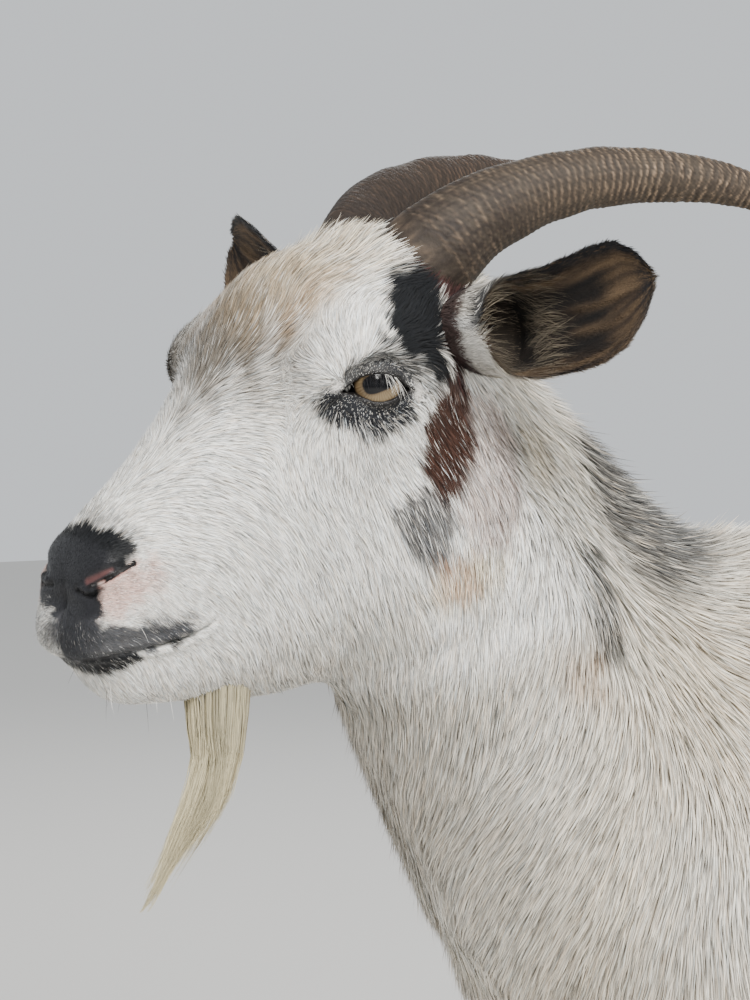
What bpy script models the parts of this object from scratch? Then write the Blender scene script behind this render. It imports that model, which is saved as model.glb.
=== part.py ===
"""A standing goat, life size, as a still museum model, out to the tips of its coat.

Metres, +Z up, the goat faces -Y and its left side is +X. The flesh is lofted from sections, fused into
one form, shaped, and then parted by thin cuts into head, neck, trunk, tail, legs and so on. Eyes, horns,
ears, beard and claws are pieces of their own that meet the flesh with a small gap.
"""

import math
from collections import namedtuple

import bmesh
import bpy
import numpy as np
from mathutils import Matrix, Vector

# ---------------------------------------------------------------- driving sizes
WITHERS_HEIGHT = 0.572
GAP = 0.0003  # left between pieces that touch
SWELL = 0.00045  # how far a neighbour is swollen to cut that gap; its flats move less than its corners
EYES_MIDPOINT = Vector((0.0, -0.299, 0.636))
HEAD_PITCH = math.radians(24.8)  # nose below the poll
HEAD_ROLL = math.radians(4.5)  # right side of the head a little higher
EYE_RADIUS = 0.0130
EYE_PLACE = (0.0465, -0.0035, 0.0018)  # eyeball's centre in the head frame: aside, forward, up
FORM_VOXEL = 0.0050
BODY_FLOOR, BODY_FRONT, BODY_REAR = 0.29, -0.22, 0.405  # the body, for softening: above, behind, ahead of
FORM_TRIANGLES = 4800
RING_POINTS = 28

HAIR_WHITE = (0.80, 0.77, 0.70, 1.0)
HORN_BROWN = (0.30, 0.23, 0.17, 1.0)
HOOF_GREY = (0.11, 0.10, 0.09, 1.0)
EYE_AMBER = (0.42, 0.30, 0.13, 1.0)

# A section of a body loft: where it stands, and how far it reaches up, down and to each side of its
# widest level. full is the superellipse exponent, 2 for an ellipse, above it for a squarer section.
Section = namedtuple("Section", "at top bottom half_width level full_up full_low")

# Head sections, at distances forward of the eyes; heights are from the line between the eyes.
HEAD = [
    Section(-0.102, 0.022, -0.056, 0.030, -0.012, 2.0, 2.0),
    Section(-0.084, 0.042, -0.090, 0.045, -0.012, 2.1, 2.0),
    Section(-0.062, 0.052, -0.108, 0.052, -0.012, 2.3, 2.0),
    Section(-0.040, 0.056, -0.116, 0.0545, -0.010, 2.4, 1.95),
    Section(-0.018, 0.0565, -0.119, 0.0550, -0.006, 2.3, 1.9),
    Section(0.002, 0.0530, -0.1205, 0.0535, -0.008, 2.2, 1.9),
    Section(0.020, 0.0435, -0.1205, 0.0495, -0.016, 2.2, 1.85),
    Section(0.038, 0.0310, -0.1205, 0.0445, -0.026, 2.2, 1.85),
    Section(0.058, 0.0185, -0.1175, 0.0395, -0.034, 2.2, 1.85),
    Section(0.078, 0.0090, -0.1105, 0.0350, -0.038, 2.2, 1.9),
    Section(0.097, 0.0022, -0.0995, 0.0320, -0.040, 2.2, 2.0),
    Section(0.114, -0.0035, -0.0905, 0.0305, -0.042, 2.2, 2.1),
    Section(0.127, -0.0095, -0.0850, 0.0285, -0.044, 2.2, 2.2),
    Section(0.1365, -0.0190, -0.0780, 0.0235, -0.046, 2.2, 2.2),
    Section(0.1415, -0.0300, -0.0690, 0.0150, -0.048, 2.0, 2.0),
]

# Trunk sections, at their distance along Y; heights are from the floor.
TRUNK = [
    Section(-0.170, 0.455, 0.345, 0.040, 0.400, 2.0, 2.0),
    Section(-0.150, 0.500, 0.318, 0.070, 0.400, 2.0, 2.0),
    Section(-0.105, 0.548, 0.298, 0.096, 0.405, 1.9, 2.1),
    Section(-0.045, WITHERS_HEIGHT, 0.288, 0.110, 0.405, 1.75, 2.1),
    Section(0.030, 0.566, 0.280, 0.119, 0.405, 1.8, 2.0),
    Section(0.110, 0.560, 0.268, 0.131, 0.400, 1.9, 2.0),
    Section(0.185, 0.562, 0.268, 0.134, 0.400, 1.9, 2.0),
    Section(0.250, 0.569, 0.292, 0.122, 0.415, 1.9, 2.0),
    Section(0.305, 0.570, 0.330, 0.106, 0.440, 1.9, 2.0),
    Section(0.355, 0.556, 0.360, 0.092, 0.455, 1.9, 2.0),
    Section(0.393, 0.526, 0.395, 0.070, 0.460, 2.0, 2.0),
    Section(0.412, 0.495, 0.425, 0.040, 0.460, 2.0, 2.0),
]

# A section of a limb-like loft, square to its own path: centre, half of its depth in the goat's side
# view, and half of its width.
Limb = namedtuple("Limb", "x y z half_depth half_width")

NECK = [
    Limb(0, -0.040, 0.400, 0.100, 0.080),
    Limb(0, -0.087, 0.438, 0.125, 0.094),
    Limb(0, -0.125, 0.473, 0.118, 0.086),
    Limb(0, -0.167, 0.517, 0.098, 0.072),
    Limb(0, -0.204, 0.562, 0.086, 0.061),
    Limb(0, -0.236, 0.598, 0.077, 0.054),
    Limb(0, -0.256, 0.628, 0.058, 0.044),
]
NECK_CREST = 0.26  # how much narrower the neck is along its crest, and wider along its throat

FORE_LEG = [
    Limb(0.072, -0.045, 0.480, 0.046, 0.030),
    Limb(0.080, -0.072, 0.425, 0.058, 0.036),
    Limb(0.080, -0.100, 0.375, 0.056, 0.038),
    Limb(0.074, -0.088, 0.325, 0.047, 0.034),
    Limb(0.066, -0.084, 0.280, 0.034, 0.027),
    Limb(0.062, -0.088, 0.235, 0.0255, 0.0215),
    Limb(0.060, -0.091, 0.196, 0.0205, 0.0190),
    Limb(0.060, -0.094, 0.172, 0.0225, 0.0215),
    Limb(0.060, -0.091, 0.146, 0.0180, 0.0170),
    Limb(0.060, -0.088, 0.110, 0.0160, 0.0150),
    Limb(0.060, -0.087, 0.074, 0.0195, 0.0190),
    Limb(0.060, -0.095, 0.050, 0.0175, 0.0190),
    Limb(0.060, -0.104, 0.030, 0.0210, 0.0225),
    Limb(0.060, -0.110, 0.012, 0.0200, 0.0210),
]

HIND_LEG = [
    Limb(0.070, 0.318, 0.490, 0.070, 0.034),
    Limb(0.080, 0.318, 0.430, 0.086, 0.042),
    Limb(0.085, 0.300, 0.370, 0.078, 0.042),
    Limb(0.083, 0.298, 0.325, 0.060, 0.036),
    Limb(0.077, 0.318, 0.282, 0.044, 0.028),
    Limb(0.071, 0.346, 0.245, 0.031, 0.021),
    Limb(0.067, 0.366, 0.215, 0.026, 0.0185),
    Limb(0.066, 0.374, 0.188, 0.0260, 0.0195),
    Limb(0.066, 0.369, 0.156, 0.0200, 0.0170),
    Limb(0.066, 0.364, 0.112, 0.0165, 0.0150),
    Limb(0.066, 0.361, 0.074, 0.0195, 0.0190),
    Limb(0.066, 0.352, 0.050, 0.0175, 0.0190),
    Limb(0.066, 0.343, 0.030, 0.0210, 0.0225),
    Limb(0.066, 0.337, 0.012, 0.0200, 0.0210),
]

TAIL = [
    Limb(0, 0.372, 0.520, 0.022, 0.026),
    Limb(0, 0.398, 0.534, 0.019, 0.025),
    Limb(0, 0.420, 0.552, 0.015, 0.025),
    Limb(0, 0.436, 0.575, 0.013, 0.024),
    Limb(0, 0.446, 0.600, 0.011, 0.018),
    Limb(0, 0.452, 0.620, 0.005, 0.007),
]

# How far each foot stands ahead of its leg's path (minus is forward), fading out up the leg.
STANCE_FADE_HEIGHT = 0.34
STANCE = {
    "leg_front_left": -0.010,
    "leg_front_right": 0.014,
    "leg_hind_left": 0.016,
    "leg_hind_right": -0.014,
}

# Foot: two claws under a sloping coronet.
CORONET_HEIGHT = 0.031
CORONET_FALL = 0.16  # drop per metre towards the heel
CLAW_LENGTH = 0.050
CLAW_HALF_WIDTH = 0.0105
CLAW_SPLIT = 0.0008
DEWCLAW_HEIGHT = 0.067
DEWCLAW_RADIUS = 0.0062

# Where the flesh is parted: a point in the side view and the direction of the cut there.
HEAD_CUT = (Vector((0, -0.291, 0.508)), Vector((0, -0.212, 0.700)))
NECK_CUT = (Vector((0, -0.172, 0.352)), Vector((0, -0.052, 0.585)))
TAIL_CUT = (Vector((0, 0.430, 0.520)), Vector((0, 0.396, 0.563)))


# ---------------------------------------------------------------- helpers
def clear_scene():
    for obj in list(bpy.data.objects):
        bpy.data.objects.remove(obj)


def head_matrix():
    """Head frame to world: x to the goat's left, y forward along the face, z up square to it."""
    forward = Vector((0, -math.cos(HEAD_PITCH), -math.sin(HEAD_PITCH)))
    up = Vector((0, -math.sin(HEAD_PITCH), math.cos(HEAD_PITCH)))
    left = Vector((1, 0, 0))
    axes = Matrix((left, forward, up)).transposed()
    roll = Matrix.Rotation(-HEAD_ROLL, 3, forward)
    return Matrix.Translation(EYES_MIDPOINT) @ (roll @ axes).to_4x4()


HEAD_FRAME = head_matrix()


def in_head(side, forward, up):
    return HEAD_FRAME @ Vector((side, forward, up))


def signed_power(value, power):
    return math.copysign(abs(value) ** power, value)


def mesh_object(name, points, faces):
    mesh = bpy.data.meshes.new(name)
    mesh.from_pydata([tuple(p) for p in points], [], faces)
    obj = bpy.data.objects.new(name, mesh)
    bpy.context.scene.collection.objects.link(obj)
    shaping = bmesh.new()
    shaping.from_mesh(mesh)
    bmesh.ops.recalc_face_normals(shaping, faces=shaping.faces)
    shaping.to_mesh(mesh)
    shaping.free()
    return obj


def loft(name, rings):
    """A closed tube through rings of equally many points, with flat ends."""
    count = len(rings[0])
    points = [p for ring in rings for p in ring]
    faces = []
    for r in range(len(rings) - 1):
        for i in range(count):
            j = (i + 1) % count
            faces.append((r * count + i, r * count + j, (r + 1) * count + j, (r + 1) * count + i))
    last = (len(rings) - 1) * count
    faces.append(tuple(reversed(range(count))))
    faces.append(tuple(range(last, last + count)))
    return mesh_object(name, points, faces)


def section_ring(section):
    """Points of a Section as (sideways, height) pairs."""
    ring = []
    for k in range(RING_POINTS):
        angle = 2 * math.pi * k / RING_POINTS
        full = section.full_up if math.sin(angle) > 0 else section.full_low
        reach = section.top - section.level if math.sin(angle) > 0 else section.level - section.bottom
        side = section.half_width * signed_power(math.cos(angle), 2 / full)
        ring.append((side, section.level + reach * signed_power(math.sin(angle), 2 / full)))
    return ring


def smooth_path(points, steps):
    """A Catmull-Rom curve through rows of numbers."""
    rows = np.array(points, float)
    padded = np.vstack([2 * rows[0] - rows[1], rows, 2 * rows[-1] - rows[-2]])
    found = []
    for i in range(1, len(padded) - 2):
        a, b, c, d = padded[i - 1 : i + 3]
        for t in np.linspace(0, 1, steps, endpoint=False):
            found.append(
                0.5 * (2 * b + (c - a) * t + (2 * a - 5 * b + 4 * c - d) * t**2 + (3 * b - a - 3 * c + d) * t**3)
            )
    return np.array([*found, rows[-1]])


def limb_rings(path, side_sign=1, stance=0.0, points=RING_POINTS, steps=3, crest=0.0):
    """Rings square to the path of a limb, smoothed, for the left or the right side of the goat.

    crest makes a ring narrower on its rear side than on its front side.
    """
    rows = smooth_path(path, steps)
    centres = rows[:, :3].copy()
    centres[:, 0] *= side_sign
    centres[:, 1] += stance * np.clip(1 - centres[:, 2] / STANCE_FADE_HEIGHT, 0, 1)
    runs = np.gradient(centres, axis=0)
    rings = []
    for centre, run, (half_depth, half_width) in zip(centres, runs, rows[:, 3:]):
        across = Vector((1, 0, 0))
        deep = Vector(run).normalized().cross(across).normalized()
        ring = []
        for k in range(points):
            angle = 2 * math.pi * k / points
            width = half_width * (1 - crest * math.sin(angle))
            ring.append(Vector(centre) + across * (width * math.cos(angle)) + deep * (half_depth * math.sin(angle)))
        rings.append(ring)
    return rings


def evaluated_mesh(obj):
    """The object's mesh with its modifiers applied, in place of the old one."""
    graph = bpy.context.evaluated_depsgraph_get()
    mesh = bpy.data.meshes.new_from_object(obj.evaluated_get(graph))
    obj.modifiers.clear()
    obj.data = mesh
    return obj


def joined(objects, name):
    """One object that holds the meshes of several."""
    merged = bmesh.new()
    for obj in objects:
        merged.from_mesh(obj.data)
    mesh = bpy.data.meshes.new(name)
    merged.to_mesh(mesh)
    merged.free()
    for obj in objects:
        bpy.data.objects.remove(obj)
    result = bpy.data.objects.new(name, mesh)
    bpy.context.scene.collection.objects.link(result)
    return result


def copy_of(obj, name):
    twin = bpy.data.objects.new(name, obj.data.copy())
    bpy.context.scene.collection.objects.link(twin)
    return twin


def boolean(obj, cutter, operation):
    modifier = obj.modifiers.new(operation.lower(), "BOOLEAN")
    modifier.operation = operation
    modifier.solver = "EXACT"
    modifier.object = cutter
    return evaluated_mesh(obj)


def swollen(obj, distance):
    """A copy of the object whose surface stands out by a distance, to cut a gap with."""
    twin = copy_of(obj, obj.name + "_swollen")
    push = twin.modifiers.new("push", "DISPLACE")
    push.strength = distance
    push.mid_level = 0
    return evaluated_mesh(twin)


def cut_clear_of(obj, neighbour):
    """Removes from obj all that lies within a small gap of its neighbour."""
    cutter = swollen(neighbour, SWELL)
    boolean(obj, cutter, "DIFFERENCE")
    bpy.data.objects.remove(cutter)
    keep_largest(obj)


def keep_largest(obj):
    """Drops crumbs that a Boolean left beside the main body."""
    shaping = bmesh.new()
    shaping.from_mesh(obj.data)
    shaping.verts.ensure_lookup_table()
    unseen, islands = set(range(len(shaping.verts))), []
    while unseen:
        stack, island = [unseen.pop()], []
        while stack:
            here = stack.pop()
            island.append(here)
            for edge in shaping.verts[here].link_edges:
                there = edge.other_vert(shaping.verts[here]).index
                if there in unseen:
                    unseen.remove(there)
                    stack.append(there)
        islands.append(island)
    islands.sort(key=len, reverse=True)
    extra = [shaping.verts[i] for island in islands[1:] for i in island]
    bmesh.ops.delete(shaping, geom=extra, context="VERTS")
    shaping.to_mesh(obj.data)
    shaping.free()


def points_of(mesh):
    found = np.empty(len(mesh.vertices) * 3, np.float32)
    mesh.vertices.foreach_get("co", found)
    return found.reshape(-1, 3).astype(float)


def set_points(mesh, points):
    mesh.vertices.foreach_set("co", np.ascontiguousarray(points, np.float32).ravel())
    mesh.update()


def half_space(name, low_point, high_point, shift):
    """A big box behind a cut: it holds all that lies on the +Y side of the line, moved back by shift."""
    along = (high_point - low_point).normalized()
    back = Vector((0, along.z, -along.y))
    centre = (low_point + high_point) / 2 + back * shift
    reach = 1.0
    corners = [
        centre + Vector((sx * reach, 0, 0)) + along * (sz * reach) + back * depth
        for depth in (0, reach)
        for sz in (-1, 1)
        for sx in (-1, 1)
    ]
    faces = [(0, 1, 3, 2), (4, 6, 7, 5), (0, 4, 5, 1), (2, 3, 7, 6), (0, 2, 6, 4), (1, 5, 7, 3)]
    return mesh_object(name, corners, faces)


def box_between(name, low, high, shear=0.0, grow=0.0):
    """A box whose top face rises by shear per metre away from the midline."""
    corners = []
    for z in (low[2] - grow, high[2] + grow):
        for y in (low[1] - grow, high[1] + grow):
            for x in (low[0] - grow, high[0] + grow):
                rise = shear * abs(x) if z > low[2] else 0
                corners.append((x, y, z + rise))
    faces = [(0, 2, 3, 1), (4, 5, 7, 6), (0, 1, 5, 4), (2, 6, 7, 3), (0, 4, 6, 2), (1, 3, 7, 5)]
    return mesh_object(name, corners, faces)


def material(name, colour, roughness):
    made = bpy.data.materials.new(name)
    made.use_nodes = True
    shader = made.node_tree.nodes["Principled BSDF"]
    shader.inputs["Base Color"].default_value = colour
    shader.inputs["Roughness"].default_value = roughness
    return made


# ---------------------------------------------------------------- the flesh
def head_form():
    rows = [[s.at, s.top, s.bottom, s.half_width, s.level, s.full_up, s.full_low] for s in HEAD]
    rings = []
    for row in smooth_path(rows, 3):
        section = Section(*row)
        rings.append([in_head(side, section.at, height) for side, height in section_ring(section)])
    return loft("head_form", rings)


def trunk_form():
    rows = [[s.at, s.top, s.bottom, s.half_width, s.level, s.full_up, s.full_low] for s in TRUNK]
    rings = []
    for row in smooth_path(rows, 2):
        section = Section(*row)
        rings.append([Vector((side, section.at, height)) for side, height in section_ring(section)])
    return loft("trunk_form", rings)


def bump(points, centre, radii, push):
    """Moves points near a centre by push, fading to nothing at the radii. All in the head frame."""
    away = (points - np.array(centre)) / np.array(radii)
    weight = np.clip(1 - (away**2).sum(1), 0, 1) ** 2
    return weight[:, None] * np.array(push)


def shape_head(points):
    """Brows, sockets, cheeks, nostril wings and lips, added to the plain loft of the head."""
    to_head = np.array(HEAD_FRAME.inverted())
    local = points @ to_head[:3, :3].T + to_head[:3, 3]
    moved = np.zeros_like(local)
    for side in (1, -1):
        out = side * 1.0
        # Brow ridge over the eye, and the rim behind and below it.
        moved += bump(local, (side * 0.052, 0.000, 0.020), (0.040, 0.036, 0.024), (out * 0.0125, 0.006, 0.005))
        moved += bump(local, (side * 0.052, -0.024, 0.004), (0.040, 0.022, 0.030), (out * 0.0070, 0, 0))
        moved += bump(local, (side * 0.050, 0.002, -0.016), (0.036, 0.030, 0.020), (out * 0.0065, 0.001, 0))
        # Hollow in front of the eye, below the brow.
        moved += bump(local, (side * 0.044, 0.042, -0.004), (0.030, 0.026, 0.022), (-out * 0.0030, 0, 0))
        # Chewing muscle.
        moved += bump(local, (side * 0.045, -0.022, -0.062), (0.040, 0.044, 0.045), (out * 0.0050, 0, 0))
        # Temple, behind the brow and under the horn.
        moved += bump(local, (side * 0.052, -0.052, 0.022), (0.036, 0.024, 0.026), (-out * 0.0035, 0, 0))
        # Wing of the nostril, and the upper lip below it.
        moved += bump(local, (side * 0.020, 0.128, -0.022), (0.024, 0.024, 0.016), (out * 0.0040, 0, 0.001))
        moved += bump(local, (side * 0.020, 0.136, -0.044), (0.026, 0.026, 0.018), (out * 0.0025, 0.004, 0))
        # Corner of the mouth, drawn in behind the lips.
        moved += bump(local, (side * 0.031, 0.088, -0.064), (0.018, 0.016, 0.016), (-out * 0.0022, 0, 0))
    # The nose stands back a little over the upper lip.
    moved += bump(local, (0, 0.146, -0.014), (0.036, 0.026, 0.024), (0, -0.0110, 0))
    # Crease between the lips all round the front, and the chin below it.
    crease = np.exp(-(((local[:, 2] + 0.0625) / 0.0045) ** 2)) * np.clip((local[:, 1] - 0.095) / 0.03, 0, 1)
    moved[:, 0] -= np.sign(local[:, 0]) * 0.0018 * crease
    moved[:, 1] -= 0.0030 * crease
    local = local + moved
    back = np.array(HEAD_FRAME)
    return local @ back[:3, :3].T + back[:3, 3]


def flesh_form():
    """Head, neck, trunk, legs and tail fused into one skin, smoothed, shaped and thinned out."""
    forms = [
        head_form(),
        trunk_form(),
        loft("neck_form", limb_rings(NECK, crest=NECK_CREST)),
        loft("tail_form", limb_rings(TAIL)),
    ]
    for name, stance in STANCE.items():
        path = FORE_LEG if "front" in name else HIND_LEG
        sign = 1 if name.endswith("left") else -1
        forms.append(loft(name + "_form", limb_rings(path, sign, stance)))
    flesh = joined(forms, "flesh")
    remesh = flesh.modifiers.new("fuse", "REMESH")
    remesh.mode = "VOXEL"
    remesh.voxel_size = FORM_VOXEL
    smooth = flesh.modifiers.new("smooth", "SMOOTH")
    smooth.factor = 0.5
    smooth.iterations = 8
    evaluated_mesh(flesh)

    points = points_of(flesh.data)
    on_head = points[:, 1] < -0.20
    points[on_head] = shape_head(points)[on_head]
    set_points(flesh.data, points)

    # Where limbs run into the body the form is softened further.
    points = points_of(flesh.data)
    body = np.clip((points[:, 2] - BODY_FLOOR) / 0.08, 0, 1) * np.clip((points[:, 1] - BODY_FRONT) / 0.06, 0, 1)
    body *= np.clip((BODY_REAR - points[:, 1]) / 0.02, 0, 1)
    broad = flesh.vertex_groups.new(name="broad")
    for index in np.nonzero(body > 0)[0].tolist():
        broad.add([index], float(body[index]), "REPLACE")
    soften = flesh.modifiers.new("soften", "SMOOTH")
    soften.factor = 0.5
    soften.iterations = 60
    soften.vertex_group = "broad"
    evaluated_mesh(flesh)
    flesh.vertex_groups.clear()

    # The body may be thinned out more than the head and the feet.
    points = points_of(flesh.data)
    thin_out = flesh.vertex_groups.new(name="thin_out")
    fine = (points[:, 1] < -0.23) & (points[:, 2] > 0.48)
    small = (points[:, 2] < 0.26) | (points[:, 1] > 0.40)
    for weight, chosen in ((0.80, fine), (0.85, small & ~fine), (1.0, ~small & ~fine)):
        thin_out.add(np.nonzero(chosen)[0].tolist(), weight, "REPLACE")
    decimate = flesh.modifiers.new("thin", "DECIMATE")
    decimate.ratio = FORM_TRIANGLES / (2 * len(flesh.data.polygons))
    decimate.vertex_group = "thin_out"
    decimate.vertex_group_factor = 1.0
    evaluated_mesh(flesh)
    flesh.vertex_groups.clear()
    return flesh


def part_off(flesh, name, cutter, wide_cutter):
    """Takes the part of flesh inside cutter as its own node, and clears wide_cutter from the rest."""
    piece = copy_of(flesh, name)
    boolean(piece, cutter, "INTERSECT")
    keep_largest(piece)
    boolean(flesh, wide_cutter, "DIFFERENCE")
    keep_largest(flesh)
    for used in (cutter, wide_cutter):
        bpy.data.objects.remove(used)
    return piece


def part_flesh(flesh):
    """Parts the flesh into tail, legs, head, neck and trunk."""
    nodes = {}
    nodes["tail"] = part_off(
        flesh, "tail", half_space("tail_side", *TAIL_CUT, GAP), half_space("tail_wide", *TAIL_CUT, 0)
    )
    for name, stance in STANCE.items():
        front = "front" in name
        low_y, high_y = (-0.170, -0.030) if front else (0.225, 0.430)
        top = 0.280 if front else 0.285
        shear = 0.35 if front else 0.75
        inner, outer = (0.030, 0.20)
        if name.endswith("right"):
            inner, outer = -outer, -inner
        low, high = (inner, low_y, 0.0), (outer, high_y, top)
        coronet = CORONET_HEIGHT - 0.001
        low = (low[0], low[1], coronet - 0.03)
        nodes[name] = part_off(
            flesh, name, box_between(name + "_box", low, high, shear),
            box_between(name + "_wide", (low[0], low[1], low[2] - 0.02), high, shear, GAP),
        )
    # What lies in front of the head cut is the head, and what lies behind the neck cut is the trunk.
    head = copy_of(flesh, "head")
    behind = half_space("behind_head", *HEAD_CUT, 0)
    boolean(head, behind, "DIFFERENCE")
    keep_largest(head)
    neck = copy_of(flesh, "neck")
    from_head = half_space("from_head", *HEAD_CUT, GAP)
    boolean(neck, from_head, "INTERSECT")
    to_trunk = half_space("to_trunk", *NECK_CUT, 0)
    boolean(neck, to_trunk, "DIFFERENCE")
    keep_largest(neck)
    trunk_side = half_space("trunk_side", *NECK_CUT, GAP)
    boolean(flesh, trunk_side, "INTERSECT")
    keep_largest(flesh)
    flesh.name = "trunk"
    for used in (behind, from_head, to_trunk, trunk_side):
        bpy.data.objects.remove(used)
    nodes.update(head=head, neck=neck, trunk=flesh)
    return nodes


# ---------------------------------------------------------------- eyes, horns, ears, beard
def ball(name, centre, radius, segments, rings):
    shaping = bmesh.new()
    bmesh.ops.create_uvsphere(shaping, u_segments=segments, v_segments=rings, radius=radius)
    turn = Matrix.Rotation(math.pi / 2, 4, "Y")
    bmesh.ops.transform(shaping, matrix=Matrix.Translation(centre) @ turn, verts=shaping.verts)
    mesh = bpy.data.meshes.new(name)
    shaping.to_mesh(mesh)
    shaping.free()
    obj = bpy.data.objects.new(name, mesh)
    bpy.context.scene.collection.objects.link(obj)
    return obj


def eyes(head):
    made = {}
    for side, sign in (("left", 1), ("right", -1)):
        centre = in_head(sign * EYE_PLACE[0], EYE_PLACE[1], EYE_PLACE[2])
        socket = ball("socket", centre, EYE_RADIUS + GAP, 14, 9)
        boolean(head, socket, "DIFFERENCE")
        bpy.data.objects.remove(socket)
        made["eye_" + side] = ball("eye_" + side, centre, EYE_RADIUS, 14, 9)
    keep_largest(head)
    return made


HORN_LENGTH = 0.245
HORN_BASE = (0.0275, -0.067, 0.0330)  # in the head frame
# Degrees above level at the base, the fall from there to the tip, and how early that fall comes.
HORN_RISE = {"left": (42.0, 69.0, 0.62), "right": (43.0, 56.0, 0.50)}
HORN_SPLAY_BASE, HORN_SPLAY_FALL, HORN_SPLAY_POWER = 31.0, 24.0, 0.5  # degrees outwards
# How far along the horn, and half of its depth in the side view there.
HORN_DEPTH = ((0, 0.0215), (0.1, 0.0186), (0.25, 0.0155), (0.5, 0.0120), (0.7, 0.0085), (0.9, 0.0042), (1, 0.0015))
HORN_FLATNESS_BASE, HORN_FLATNESS_TIP = 0.70, 0.92  # width over depth
HORN_SUNK = 0.012  # how far the root reaches into the head before it is cut clear
HORN_STEPS, HORN_POINTS = 13, 10


def horn_path(side, sign):
    """Centres and directions along a horn: steep at the base, levelling off and then falling back."""
    centre = in_head(sign * HORN_BASE[0], HORN_BASE[1], HORN_BASE[2])
    rise_base, rise_fall, rise_power = HORN_RISE[side]
    found = []
    for k in range(HORN_STEPS + 1):
        t = k / HORN_STEPS
        rise = math.radians(rise_base - rise_fall * t**rise_power)
        splay = math.radians(HORN_SPLAY_BASE - HORN_SPLAY_FALL * t**HORN_SPLAY_POWER)
        level = math.cos(rise)
        run = Vector((sign * math.sin(splay) * level, math.cos(splay) * level, math.sin(rise)))
        found.append((t, centre.copy(), run))
        centre += run * (HORN_LENGTH / HORN_STEPS)
    return found


def horn(side, sign, head):
    rings = []
    for t, centre, run in horn_path(side, sign):
        if t == 0:
            centre = centre - run * HORN_SUNK
        across = run.cross(Vector((0, 0, 1))).normalized()
        deep = across.cross(run).normalized()
        half_depth = float(np.interp(t, *zip(*HORN_DEPTH)))
        flatness = HORN_FLATNESS_BASE + (HORN_FLATNESS_TIP - HORN_FLATNESS_BASE) * min(1, 2 * t)
        ring = []
        for k in range(HORN_POINTS):
            angle = 2 * math.pi * k / HORN_POINTS
            aside = across * (half_depth * flatness * math.cos(angle))
            ring.append(centre + aside + deep * (half_depth * math.sin(angle)))
        rings.append(ring)
    made = loft("horn_" + side, rings)
    cut_clear_of(made, head)
    return made


EAR_LENGTH = 0.091
EAR_ROOT = (0.0440, -0.0560, 0.0035)  # in the head frame
EAR_RUN = {"left": (0.90, 0.33, 0.13), "right": (-0.86, 0.05, 0.39)}
EAR_OPENING = {"left": (0.30, -0.93, -0.12), "right": (-0.30, -0.93, 0.02)}
EAR_SHEET = 0.0040
EAR_SAG, EAR_LIFT = 0.004, 0.006  # the middle hangs, the tip turns up
# How far along the ear, and half of its breadth measured round its cup.
EAR_BREADTH = ((0, 0.0190), (0.2, 0.0255), (0.5, 0.0275), (0.75, 0.0245), (0.9, 0.0185), (1, 0.0060))
EAR_CUP_ROOT, EAR_CUP_TIP = 92.0, 42.0  # degrees from the middle of the cup to its edge
EAR_ROWS, EAR_COLUMNS = 8, 7


def ear_point(side, sign, t, s):
    """A point of the ear's mid sheet: t from root to tip, s from one edge to the other."""
    run = Vector(EAR_RUN[side]).normalized()
    opening = Vector(EAR_OPENING[side])
    opening = (opening - run * opening.dot(run)).normalized()
    breadth = run.cross(opening) * sign
    half_arc = math.radians(EAR_CUP_ROOT + (EAR_CUP_TIP - EAR_CUP_ROOT) * t**0.8)
    radius = float(np.interp(t, *zip(*EAR_BREADTH))) / half_arc
    angle = s * half_arc
    spine = in_head(sign * EAR_ROOT[0], EAR_ROOT[1], EAR_ROOT[2]) + run * (EAR_LENGTH * t)
    spine += opening * (0.010 * t * t - 0.010)
    spine.z += EAR_LIFT * t * t - EAR_SAG * math.sin(math.pi * t)
    return spine + breadth * (radius * math.sin(angle)) + opening * (radius * (1 - math.cos(angle)))


def ear(side, sign, head):
    points = []
    for row in range(EAR_ROWS + 1):
        for column in range(EAR_COLUMNS + 1):
            points.append(ear_point(side, sign, row / EAR_ROWS, 2 * column / EAR_COLUMNS - 1))
    width = EAR_COLUMNS + 1
    faces = []
    for row in range(EAR_ROWS):
        for column in range(EAR_COLUMNS):
            first = row * width + column
            faces.append((first, first + 1, first + width + 1, first + width))
    made = mesh_object("ear_" + side, points, faces)
    thicken = made.modifiers.new("thicken", "SOLIDIFY")
    thicken.thickness = EAR_SHEET
    thicken.offset = 0
    thicken.use_even_offset = False
    evaluated_mesh(made)
    cut_clear_of(made, head)
    return made


BEARD = [
    Limb(0, -0.3400, 0.520, 0.0145, 0.0100),
    Limb(0, -0.3395, 0.500, 0.0135, 0.0085),
    Limb(0, -0.3385, 0.484, 0.0125, 0.0075),
    Limb(0, -0.3440, 0.466, 0.0120, 0.0070),
    Limb(0, -0.3555, 0.449, 0.0105, 0.0060),
    Limb(0, -0.3680, 0.433, 0.0070, 0.0040),
    Limb(0, -0.3745, 0.424, 0.0025, 0.0020),
]


def beard(head):
    made = loft("beard", limb_rings(BEARD, points=8, steps=2))
    cut_clear_of(made, head)
    return made


# ---------------------------------------------------------------- feet
def foot_centre(name):
    """Where a foot stands on the floor, from the lowest section of its leg."""
    front = "front" in name
    lowest = (FORE_LEG if front else HIND_LEG)[-1]
    sign = 1 if name.endswith("left") else -1
    fade = 1 - lowest.z / STANCE_FADE_HEIGHT
    return Vector((sign * lowest.x, lowest.y + STANCE[name] * fade, 0))


def coronet_height(y_from_foot):
    return CORONET_HEIGHT - CORONET_FALL * y_from_foot


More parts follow.
